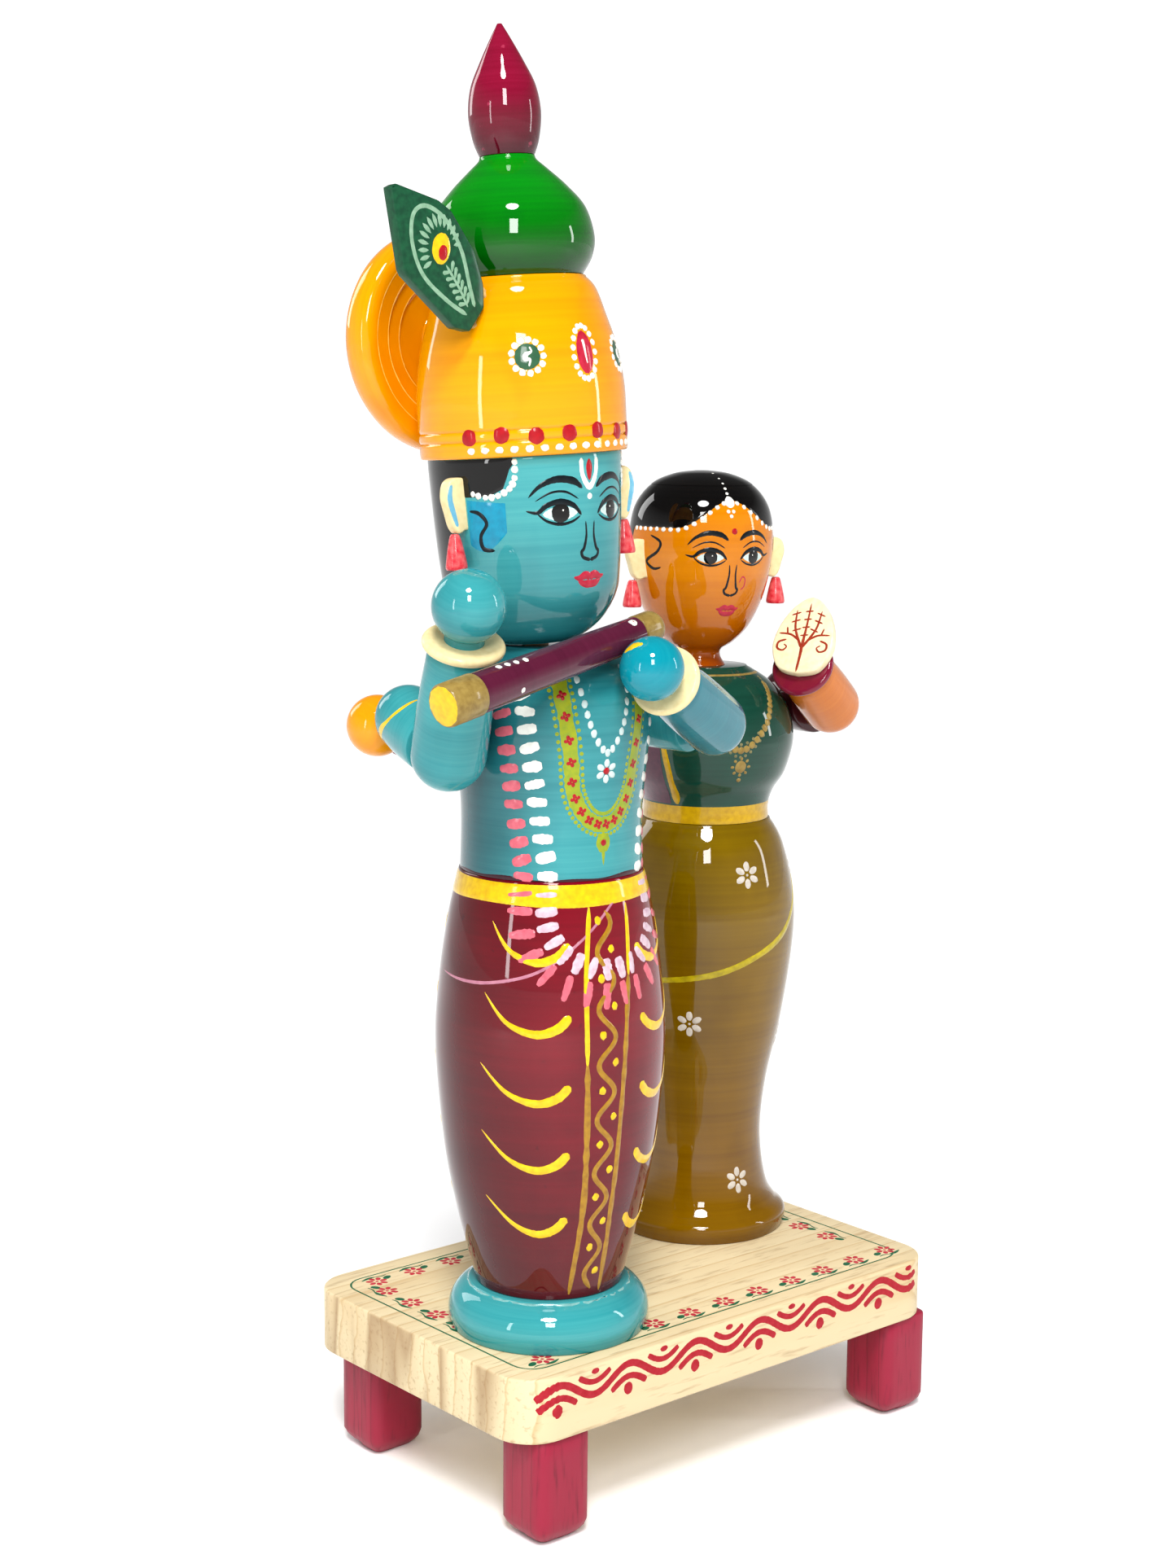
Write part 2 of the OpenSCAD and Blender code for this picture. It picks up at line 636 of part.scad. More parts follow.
// The palm is a flat egg-shaped plate on the face of the bangle, its narrow end up
palm_t = 2.6;
palm_rise = 6.2;
palm_line = [[0, -9.6], [5.2, -8.2], [7.8, -3], [7.3, 2.6], [5, 7.6], [2.1, 10.6], [0, 11.4]];
module companion_palm_left() {
  half = smooth(palm_line, 4);
  color(cream) difference() {
    aim(c_left_palm, c_left_palm + left_palm_dir) rotate([0, 0, 90]) linear_extrude(palm_t)
      translate([0, palm_rise])
        polygon(concat(half, [for (k = [len(half) - 2:-1:1]) [-half[k].x, half[k].y]]));
    arm_bores([left_palm_peg]);
  }
}
module companion_arm_pegs() {
  color(cream) pegs([
    companion_shoulders[0], companion_shoulders[1],
    elbow_peg(c_left_shoulder, c_left_elbow), elbow_peg(c_right_shoulder, c_right_elbow),
    wrist_peg(c_right_elbow, c_right_hand, c_hand_r), left_palm_peg
  ]);
}

stand_board();
leg(leg_pos[0]);  // leg_front_left
leg(leg_pos[1]);  // leg_front_right
leg(leg_pos[2]);  // leg_back_left
leg(leg_pos[3]);  // leg_back_right
leg_dowels();
figure_screws();
player_base_ring();
player_skirt();
player_torso();
player_head();
player_crown();
player_crown_bulb();
player_finial();
player_core_dowels();
player_halo();
player_halo_peg();
player_feather();
player_ear(-1);  // player_ear_right
player_ear(1);  // player_ear_left
player_earring(-1);  // player_earring_right
player_earring(1);  // player_earring_left
player_upper_arm_right();
player_upper_arm_left();
player_forearm_right();
player_forearm_left();
player_bangle_right();
player_bangle_left();
player_hand_right();
player_hand_left();
player_arm_pegs();
flute();
companion_sari();
companion_bodice();
companion_head();
companion_core_dowels();
companion_ear(-1);  // companion_ear_right
companion_ear(1);  // companion_ear_left
companion_earring(-1);  // companion_earring_right
companion_earring(1);  // companion_earring_left
companion_upper_arm_right();
companion_upper_arm_left();
companion_forearm_right();
companion_forearm_left();
companion_bangle_right();
companion_bangle_left();
companion_hand_right();
companion_palm_left();
companion_arm_pegs();
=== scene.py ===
"""Looks of the turned doll pair: lacquered turnings, cut plates, painted ornament and a wooden stand.

Lengths are in mm until add() puts them in the frame. Ornament lies at u, v on a surface: on a turned one u is
the angle in degrees from the front, towards +X, and v the height; on a flat one both are mm.
"""
import math
import random

import bpy
from mathutils import Matrix, Vector


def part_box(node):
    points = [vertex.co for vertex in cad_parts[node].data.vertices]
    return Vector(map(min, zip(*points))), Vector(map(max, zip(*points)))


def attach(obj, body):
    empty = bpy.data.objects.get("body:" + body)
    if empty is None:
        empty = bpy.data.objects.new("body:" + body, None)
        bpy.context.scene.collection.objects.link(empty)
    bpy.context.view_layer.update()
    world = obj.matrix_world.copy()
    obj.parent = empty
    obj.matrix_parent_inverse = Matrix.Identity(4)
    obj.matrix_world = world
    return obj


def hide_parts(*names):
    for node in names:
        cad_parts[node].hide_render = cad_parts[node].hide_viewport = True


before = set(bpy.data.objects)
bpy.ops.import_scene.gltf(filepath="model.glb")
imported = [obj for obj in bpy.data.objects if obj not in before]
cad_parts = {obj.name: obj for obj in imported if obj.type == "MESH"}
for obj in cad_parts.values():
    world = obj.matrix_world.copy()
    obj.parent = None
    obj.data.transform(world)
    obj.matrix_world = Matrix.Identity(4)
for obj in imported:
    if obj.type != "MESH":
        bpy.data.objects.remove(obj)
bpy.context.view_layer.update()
MM = 0.001
random.seed(7)


def middle(node):
    """Centre, lowest and highest corner of a CAD node, in mm."""
    low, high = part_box(node)
    return (low + high) / 2 / MM, low / MM, high / MM


board_mid, board_low, board_high = middle("stand_board")
board_x, board_y = (board_high.x - board_low.x) / 2, (board_high.y - board_low.y) / 2
lean = Vector((-0.758, 0.652))  # where the flute player leans: back and to the left


# ---------------- shaders

def rgb(code):
    """A linear colour from a hex sRGB code."""
    parts = [(code >> shift & 255) / 255 for shift in (16, 8, 0)]
    return (*[c / 12.92 if c <= 0.04045 else ((c + 0.055) / 1.055) ** 2.4 for c in parts], 1.0)


class Nodes:
    """Short ways to add and join the nodes of a tree."""

    def __init__(self, tree):
        self.tree = tree

    def node(self, kind, inputs=(), **settings):
        n = self.tree.nodes.new("ShaderNode" + kind)
        for key, value in settings.items():
            setattr(n, key, value)
        for key, value in dict(inputs).items():
            if isinstance(value, bpy.types.NodeSocket):
                self.tree.links.new(value, n.inputs[key])
            else:
                n.inputs[key].default_value = value
        return n

    def math(self, operation, *values):
        return self.node("Math", enumerate(values), operation=operation).outputs[0]

    def remap(self, value, low, high, to_low=0.0, to_high=1.0):
        return self.node("MapRange", {"Value": value, "From Min": low, "From Max": high,
                                      "To Min": to_low, "To Max": to_high}).outputs[0]


class Shader(Nodes):
    """A material with one Principled shader."""

    def __init__(self, name, **sockets):
        self.material = bpy.data.materials.new(name)
        self.material.use_nodes = True
        super().__init__(self.material.node_tree)
        self.bsdf = self.tree.nodes["Principled BSDF"]
        self.coord = self.node("TexCoord").outputs["Object"]
        for key, value in sockets.items():
            self.bsdf.inputs[key.replace("_", " ")].default_value = value

    def stretched(self, *scale):
        return self.node("VectorMath", {0: self.coord, 1: scale}, operation="MULTIPLY").outputs[0]

    def noise(self, scale, detail=3.0, stretch=(1, 1, 1), rough=0.5):
        return self.node("TexNoise", {"Vector": self.stretched(*[scale * k for k in stretch]), "Scale": 1.0,
                                      "Detail": detail, "Roughness": rough}).outputs["Fac"]

    def ramp(self, value, *stops):
        """Stops are (place, colour or grey)."""
        n = self.node("ValToRGB", {"Fac": value})
        items = n.color_ramp.elements
        while len(items) < len(stops):
            items.new(0.5)
        for item, (place, colour) in zip(items, stops):
            item.position = place
            item.color = colour if isinstance(colour, tuple) else (colour, colour, colour, 1)
        return n.outputs["Color"]

    def mix(self, fac, a, b, blend="MIX"):
        return self.node("Mix", {"Factor": fac, 6: a, 7: b}, data_type="RGBA", blend_type=blend).outputs[2]

    def place(self, axis):
        return self.node("SeparateXYZ", {0: self.coord}).outputs[axis]

    def span(self, value, low, high):
        """Value in metres mapped to 0 at low mm and 1 at high mm."""
        return self.remap(value, low * MM, high * MM)

    def colour(self, socket):
        self.tree.links.new(socket, self.bsdf.inputs["Base Color"])

    def rough(self, socket, low, high):
        self.tree.links.new(self.remap(socket, 0, 1, low, high), self.bsdf.inputs["Roughness"])

    def bump(self, *layers):
        """Layers are (value, depth in mm)."""
        normal = None
        for value, depth in layers:
            inputs = {"Height": value, "Distance": depth * MM, "Strength": 1.0}
            if normal:
                inputs["Normal"] = normal
            normal = self.node("Bump", inputs).outputs[0]
        self.tree.links.new(normal, self.bsdf.inputs["Normal"])
        return self.material


def lacquer(name, dark, mid, light, tint=None, spots=None, shaded_side=None):
    """Lathe lacquer: rings of slightly different colour, soft clouds and a glossy top coat.
    tint is (low mm, high mm, colour at low, colour at high) along the axis, on most bodies a painted shade at one
    end;
    spots is (share, colour) of the specks, and shaded_side is the colour of the painted shade on the side towards
    lean."""
    s = Shader(name, Coat_Weight=1.0, Coat_Roughness=0.03, Coat_IOR=1.43, Specular_IOR_Level=0.0)
    rings = s.noise(1, 4, (9, 9, 800), 0.6)
    broad = s.noise(1, 2, (12, 12, 110))
    clouds = s.noise(55, 3, (1, 1, 0.6))
    base = s.mix(s.ramp(rings, (0.35, 0.0), (0.75, 0.55)), rgb(mid), rgb(light))
    base = s.mix(s.ramp(broad, (0.46, 0.0), (0.8, 0.4)), base, rgb(dark))
    base = s.mix(s.ramp(clouds, (0.5, 0.0), (0.8, 0.5)), base, rgb(dark))
    # A colour fade along the axis; on the heads, bulb, finial and skirt it darkens the lower part as painted
    # shade.
    if tint:
        low, high, at_low, at_high = tint
        fade = s.ramp(s.span(s.place("Z"), low, high), (0.0, rgb(at_low)), (1.0, rgb(at_high)))
        base = s.mix(1.0, base, fade, "MULTIPLY")
    # Painted shade: the side towards lean is darkened, with a cloudy edge.
    if shaded_side:
        side = s.node("VectorMath", {0: s.coord, 1: (-lean.x, -lean.y, 0)}, operation="DOT_PRODUCT")
        cloudy = s.math("MULTIPLY_ADD", clouds, 0.012, side.outputs["Value"])
        fade = s.ramp(s.span(cloudy, -16, 8), (0.0, rgb(shaded_side)), (1.0, rgb(WHITE)))
        base = s.mix(1.0, base, fade, "MULTIPLY")
    if spots:
        share, worn = spots
        base = s.mix(s.ramp(s.noise(420, 2), (0.70, 0.0), (0.74, share)), base, rgb(worn))
    s.colour(base)
    s.rough(clouds, 0.24, 0.42)
    return s.bump((rings, 0.012), (s.noise(160, 2), 0.05))


def paint(name, colour, shade, rough=0.35, coat=0.5):
    """Brushed-on paint with a little thickness variation, under a thin varnish."""
    s = Shader(name, Coat_Weight=coat, Coat_Roughness=0.08, Coat_IOR=1.4, Specular_IOR_Level=0.1)
    strokes = s.noise(700, 3)
    s.colour(s.mix(s.ramp(strokes, (0.35, 0.0), (0.75, 1.0)), rgb(colour), rgb(shade)))
    s.rough(strokes, rough - 0.08, rough + 0.12)
    return s.bump((strokes, 0.03))


def wood(name, pale, grain, deep, along="x", ring=1.0, ends=None):
    """Sawn wood: long grain and fine pores, with growth bands on the end faces beyond ends mm."""
    s = Shader(name, Coat_Weight=0.15, Coat_Roughness=0.35, Specular_IOR_Level=0.3)
    stretch = {"x": (0.06, 1, 1), "z": (1, 1, 0.08)}[along]
    bend = s.noise(60, 3, stretch)
    wave = s.node("TexWave", {"Vector": s.stretched(*[k * 55 for k in stretch]), "Scale": ring,
                              "Distortion": 5.0, "Detail": 3.0, "Detail Scale": 1.2},
                  wave_type="BANDS", bands_direction="Y", wave_profile="SAW").outputs["Fac"]
    pores = s.noise(900, 3, tuple(max(k, 0.12) for k in stretch))
    base = s.mix(s.ramp(wave, (0.0, 0.0), (0.86, 0.25), (0.97, 1.0), (1.0, 0.2)), rgb(pale), rgb(grain))
    base = s.mix(s.ramp(bend, (0.5, 0.0), (0.8, 0.55)), base, rgb(grain))
    base = s.mix(s.ramp(pores, (0.56, 0.0), (0.75, 0.5)), base, rgb(deep))
    if ends:
        bands = s.ramp(s.noise(1, 1, (4, 70, 7)), (0.36, 0.0), (0.44, 0.75), (0.48, 0.1), (0.60, 0.0),
                       (0.65, 0.8), (0.70, 0.1))
        side = s.span(s.math("ABSOLUTE", s.place("X")), ends - 0.5, ends)
        base = s.mix(s.mix(side, (0, 0, 0, 1), bands), base, rgb(deep))
    s.colour(base)
    s.rough(pores, 0.42, 0.6)
    return s.bump((pores, 0.05), (wave, 0.04))


# ---------------- materials, as hex colours

WHITE = 0xFFFFFF
TEAL = (0x12606C, 0x2E8C92, 0x4EA6A6)
teal = lacquer("teal_lacquer", *TEAL)
# Painted shade: the head darkens towards the chin.
teal_head = lacquer("teal_head_lacquer", 0x1E7A84, 0x3E989C, 0x5AB0AE, tint=(2, 30, 0xB2CED4, WHITE))
# Painted shade on the side towards lean; the colour also darkens a little towards the top.
teal_torso = lacquer("teal_torso_lacquer", *TEAL, tint=(0, 44, WHITE, 0xCDE2E4), shaded_side=0x427482)
teal_arm = lacquer("teal_arm_lacquer", 0x064C62, 0x127080, 0x2C868E)
teal_bright = lacquer("bright_teal_lacquer", 0x005C70, 0x008496, 0x1896A2)
# Painted shade: the skirt darkens towards its foot and on the side towards lean.
maroon = lacquer("maroon_lacquer", 0x3C000E, 0x700014, 0x80021A, spots=(0.3, 0x28040C),
                 tint=(0, 60, 0xB9B9B9, WHITE), shaded_side=0xAA8C96)
amber = lacquer("amber_lacquer", 0xCE6C00, 0xEA9600, 0xF4A800)
amber_halo = lacquer("amber_halo_lacquer", 0xCC6600, 0xE89200, 0xF4A600)
# Painted shade: the bulb darkens towards its underside.
green = lacquer("green_lacquer", 0x003E18, 0x007A0C, 0x029608, tint=(3, 19, 0x6E968C, WHITE))
# Painted shade: the finial darkens towards its foot.
crimson = lacquer("crimson_lacquer", 0x480010, 0x7C0828, 0x96183C, spots=(0.5, 0xB43C5A),
                  tint=(0, 16, 0x968C96, WHITE))
olive = lacquer("olive_lacquer", 0x4C3200, 0x765800, 0x886A00, tint=(20, 105, 0xF5E1D7, 0xF5FAEB))
bottle = lacquer("bottle_green_lacquer", 0x06221A, 0x0E3C2E, 0x164A3A)
# Painted shade: the companion's head darkens towards the chin.
ochre = lacquer("ochre_lacquer", 0xB45A00, 0xCE7800, 0xDC8800, tint=(2, 24, 0xCDA082, WHITE))
ochre_arm = lacquer("ochre_arm_lacquer", 0xA04A06, 0xC4680C, 0xD47C18)
gold_hand = lacquer("gold_hand_lacquer", 0xC46800, 0xE08C04, 0xEE9E0C)
dark_sleeve = lacquer("sleeve_lacquer", 0x22080E, 0x3C1018, 0x4C181E)
plum = lacquer("plum_lacquer", 0x300A1C, 0x4E142C, 0x5C1C36)
wine = lacquer("wine_lacquer", 0x50081A, 0x700E2A, 0x96324A)
cream = paint("cream_paint", 0xEAD8A4, 0xE2CC94, 0.4, 0.4)
ear_blue = paint("ear_blue_paint", 0x60AAC8, 0x7EBAD0, 0.35, 0.5)
ivory = paint("ivory_paint", 0xF2E6BE, 0xE8D6A8, 0.4, 0.5)
earring_red = paint("earring_red", 0xCE1A2E, 0xE86E6E, 0.3, 0.7)
feather_green = paint("feather_green", 0x0E3E28, 0x165434, 0.45, 0.3)
black = lacquer("black_lacquer", 0x020202, 0x060505, 0x100D0B)
line_black = paint("line_black", 0x081014, 0x0E1A20, 0.3, 0.3)
white = paint("white_paint", 0xEEEEE6, 0xDEDED6)
white_soft = paint("soft_white_paint", 0xCEDAD6, 0xB4CCCA)
pink = paint("pink_paint", 0xD66876, 0xC45464)
lilac = paint("lilac_paint", 0xB87A8C, 0xA6647A)
red = paint("red_paint", 0xAC121C, 0x920C18)
lip_red = paint("lip_red", 0xA81630, 0xBE2840)
yellow = paint("yellow_paint", 0xE8C006, 0xD6A40A, 0.3, 0.8)
mustard = paint("mustard_paint", 0xA67A12, 0x8A5E14, 0.3, 0.8)
olive_line = paint("olive_line_paint", 0xB8A408, 0x98860C, 0.3, 0.8)
warm_white = paint("warm_white_paint", 0xCCC4B8, 0xB4AA9E, 0.4, 0.4)
veil_white = paint("veiled_white_paint", 0xD6BEC8, 0xBA96A6, 0.4, 0.5)
lime = paint("lime_paint", 0x96A018, 0x7C9428)
gold = paint("gold_paint", 0x967E40, 0x7A602A, 0.35, 0.5)
dim_gold = paint("dim_gold_paint", 0x7C744C, 0x60603E, 0.35, 0.5)
amber_band = paint("golden_band_paint", 0xC89E06, 0xB08608, 0.3, 0.8)
purple = paint("purple_paint", 0x542238, 0x461C32, 0.3, 0.8)
cyan = paint("cyan_paint", 0x008CAC, 0x047A9A, 0.3, 0.8)
deep_blue = paint("deep_blue_paint", 0x0A5880, 0x14688C, 0.3, 0.8)
bead_green = paint("motif_green", 0x305C3E, 0x264E36)
leaf_grey = paint("leaf_grey_paint", 0x88AC90, 0x6E9678, 0.5, 0.2)
henna = paint("henna_paint", 0x8E2816, 0xA03C24, 0.5, 0.1)
ink_green = paint("stamp_green", 0x1A583A, 0x306C4C, 0.55, 0.05)
ink_red = paint("stamp_red", 0xB02434, 0xC0424C, 0.55, 0.05)
wave_red = paint("wave_red", 0x9E1624, 0xAC2834, 0.5, 0.1)
smear = paint("dark_smear", 0x3A101E, 0x280E18, 0.4, 0.6)
pale_line = paint("pale_lacquer_line", 0xFCC854, 0xF6B028, 0.3, 0.8)
glue_clear = paint("glue", 0x80B2AE, 0x5C9292, 0.15, 1.0)
pale_wood = wood("pale_wood", 0xDCCAA2, 0xC8AC7E, 0x927048, ends=board_x)
stained = wood("stained_wood", 0x921232, 0x740824, 0x4A0418, along="z", ring=1.6)
dowel_wood = wood("dowel_wood", 0xD8BE92, 0xC4A476, 0xA08058, along="z")
chip_wood = paint("bare_chip", 0xD8B070, 0xA8703C, 0.7, 0.0)
steel = Shader("screw_steel", Metallic=1.0, Roughness=0.35)
steel.colour(steel.ramp(steel.noise(500), (0.3, rgb(0xA8AAAE)), (0.7, rgb(0xC4C6C8))))
steel = steel.bump((steel.noise(900), 0.02))


# ---------------- lines and frames

def spread(first, last, n):
    """n + 1 even steps."""
    return [first + (last - first) * k / n for k in range(n + 1)]


def arc(r, first, last, n, x=0.0, y=0.0):
    """Points round x, y, between two angles in degrees."""
    return [(x + r * math.cos(a), y + r * math.sin(a)) for a in map(math.radians, spread(first, last, n))]


def rounded_box(half_x, half_y, r, n):
    return [p for sx, sy, first in ((1, 1, 0), (-1, 1, 90), (-1, -1, 180), (1, -1, 270))
            for p in arc(r, first, first + 90, n, sx * (half_x - r), sy * (half_y - r))]


def smooth(points, n=8):
    """A Catmull-Rom curve through the points, in any number of dimensions."""
    points = [tuple(p) for p in points]
    out = []
    for i in range(len(points) - 1):
        a, b = points[max(0, i - 1)], points[i]
        c, d = points[i + 1], points[min(len(points) - 1, i + 2)]
        for k in range(n):
            t = k / n
            out.append(tuple(0.5 * (2 * q + (r - p) * t + (2 * p - 5 * q + 4 * r - s) * t * t
                                    + (3 * q - p - 3 * r + s) * t ** 3) for p, q, r, s in zip(a, b, c, d)))
    return out + [points[-1]]


def mirrored(side, points):
    return [(side * u, v) for u, v in points]


def both_sides(points):
    """A line that ends at u 0, continued as its mirror image."""
    return points + mirrored(-1, reversed(points[:-1]))


def turn(degrees, axis="Z"):
    return Matrix.Rotation(math.radians(degrees), 4, axis)


def move(x, y, z):
    return Matrix.Translation((x, y, z))


def aim(a, b):
    """The frame at a whose +Z points to b."""
    d = Vector(b) - Vector(a)
    return (move(*a) @ turn(math.degrees(math.atan2(d.y, d.x)))
            @ turn(math.degrees(math.acos(d.z / d.length)), "Y"))


# ---------------- meshes

def link(name, data):
    thing = bpy.data.objects.new(name, data)
    bpy.context.scene.collection.objects.link(thing)
    return thing


def add(name, verts, faces, material, matrix=Matrix(), replaces=(), angle=40):
    """A mesh piece, verts in mm in the frame of matrix, which is in mm too."""
    mesh = bpy.data.meshes.new(name)
    mesh.from_pydata([Vector(v) * MM for v in verts], [], faces)
    mesh.materials.append(material)
    mesh.validate()
    mesh.shade_smooth()
    mesh.set_sharp_from_angle(angle=math.radians(angle))
    piece = link(name, mesh)
    placed = matrix.copy()
    placed.translation = placed.translation * MM
    piece.matrix_world = placed
    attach(piece, "root")
    if replaces:
        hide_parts(*replaces)


def bridge(faces, low, high, count):
    """Quads between two closed rows of count points."""
    for k in range(count):
        m = (k + 1) % count
        faces.append((low + k, low + m, high + m, high + k))


def lathe(name, line, material, matrix, replaces=(), around=144, angle=40):
    """Spins (radius, height) points; both ends are closed on the axis."""
    verts, faces = [(0, 0, line[0][1])], []
    for r, z in line:
        for k in range(around):
            t = 2 * math.pi * k / around
            verts.append((r * math.sin(t), -r * math.cos(t), z))
    verts.append((0, 0, line[-1][1]))
    last = len(verts) - 1
    for k in range(around):
        m = (k + 1) % around
        faces.append((0, 1 + m, 1 + k))
        faces.append((last, last - around + k, last - around + m))
    for i in range(len(line) - 1):
        bridge(faces, 1 + i * around, 1 + (i + 1) * around, around)
    add(name, verts, faces, material, matrix, replaces, angle)


def plate(name, outline, thick, bevel, material, matrix, replaces=(), n=3):
    """A flat plate in local X and Y, from z 0 to thick, with rounded rims made as inset rings."""
    count = len(outline)
    cx, cy = sum(p[0] for p in outline) / count, sum(p[1] for p in outline) / count
    rings = [(bevel * (1 - math.sin(t)), bevel * (1 - math.cos(t))) for t in spread(0, math.pi / 2, n)]
    rings += [(inset, thick - z) for inset, z in reversed(rings)]

    def inward(i, inset):
        (x0, y0), (x, y), (x1, y1) = outline[i - 1], outline[i], outline[(i + 1) % count]
        tx, ty = x1 - x0, y1 - y0
        length = math.hypot(tx, ty) or 1.0
        nx, ny = -ty / length, tx / length
        if nx * (cx - x) + ny * (cy - y) < 0:
            nx, ny = -nx, -ny
        return (x + nx * inset, y + ny * inset)
    verts, faces = [], []
    for inset, z in rings:
        verts += [(*inward(i, inset), z) for i in range(count)]
    for j in range(len(rings) - 1):
        bridge(faces, j * count, (j + 1) * count, count)
    faces.append(tuple(reversed(range(count))))
    faces.append(tuple((len(rings) - 1) * count + i for i in range(count)))
    add(name, verts, faces, material, matrix, replaces, angle=50)


# ---------------- surfaces to paint on

class Flat:
    """A flat surface: u and v in mm along its local X and Y, facing local +Z."""

    def __init__(self, matrix, slot):
        self.matrix, self.slot = matrix, slot

    def per_mm(self, u, v):
        """How much u and v change over one mm of the surface."""
        return 1.0, 1.0

    def point(self, u, v, lift):
        return (u, v, lift)


class Rim(Flat):
    """The board's upright side: u in mm along it and on round the rounded corners, v the height."""

    def point(self, u, v, lift):
        over = abs(u) - (board_x - corner)
        if over <= 0:
            return (u, -board_y - lift, v)
        t, r = over / corner, corner + lift
        return (math.copysign(board_x - corner + r * math.sin(t), u), -board_y + corner - r * math.cos(t), v)


class Ball(Flat):
    """A sphere of radius r: u is the longitude from the front, v the latitude, in degrees."""

    def __init__(self, matrix, slot, r):
        super().__init__(matrix, slot)
        self.r = r

    def per_mm(self, u, v):
        step = math.degrees(1 / self.r)
        return step / max(math.cos(math.radians(v)), 0.1), step

    def point(self, u, v, lift):
        r, a, b = self.r + lift, math.radians(u), math.radians(v)
        return (r * math.cos(b) * math.sin(a), -r * math.cos(b) * math.cos(a), r * math.sin(b))


class Turned(Flat):
    """A turned surface through [radius, height] points, with fine grooves at some heights."""
    DEEP, HALF = 0.32, 0.3  # a groove's depth and half width

    def __init__(self, matrix, slot, outline, grooves=(), edge=0.5):
        super().__init__(matrix, slot)
        self.edge = edge
        self.known = smooth(outline, 10)
        near = (-0.8, -0.5, -0.25, 0, 0.25, 0.5, 0.8)
        heights = sorted([z for _, z in self.known] + [g + d for g in grooves for d in near])
        self.line = [(self.radius(z) - sum(self.groove(z - g) for g in grooves), z) for z in heights]

    def groove(self, away):
        return self.DEEP * math.exp(-(away / self.HALF) ** 2)

    def radius(self, v):
        line = self.known
        if v <= line[0][1]:
            return line[0][0]
        for (r0, z0), (r1, z1) in zip(line, line[1:]):
            if v <= z1:
                return r0 + (r1 - r0) * (v - z0) / max(z1 - z0, 1e-6)
        return line[-1][0]

    def slope(self, v):
        return (self.radius(v + 0.3) - self.radius(v - 0.3)) / 0.6

    def per_mm(self, u, v):
        return math.degrees(1 / max(self.radius(v), 1.0)), 1 / math.hypot(1, self.slope(v))

    def point(self, u, v, lift):
        m = self.slope(v)
        r = self.radius(v) + lift / math.hypot(1, m)
        t = math.radians(u)
        return (r * math.sin(t), -r * math.cos(t), v - lift * m / math.hypot(1, m))

    def build(self, name, material, replaces):
        """The turned solid with softly rounded rims."""
        e, line = self.edge, self.line
        (_, z0), (r1, z1) = line[0], line[-1]
        body = [(r, z) for r, z in line if z0 + e <= z <= z1 - e]
        foot = [(self.radius(z0 + e) - e + e * math.sin(t), z0 + e - e * math.cos(t))
                for t in (0.0, 0.4, 0.8, 1.2)]
        top = [(self.radius(z1 - e) - e + e * math.cos(t), z1 - e + e * math.sin(t))
               for t in (0.4, 0.8, 1.2, math.pi / 2)] if r1 > 2 else [(r1, z1)]
        lathe(name, foot + body + top, material, self.matrix, replaces)


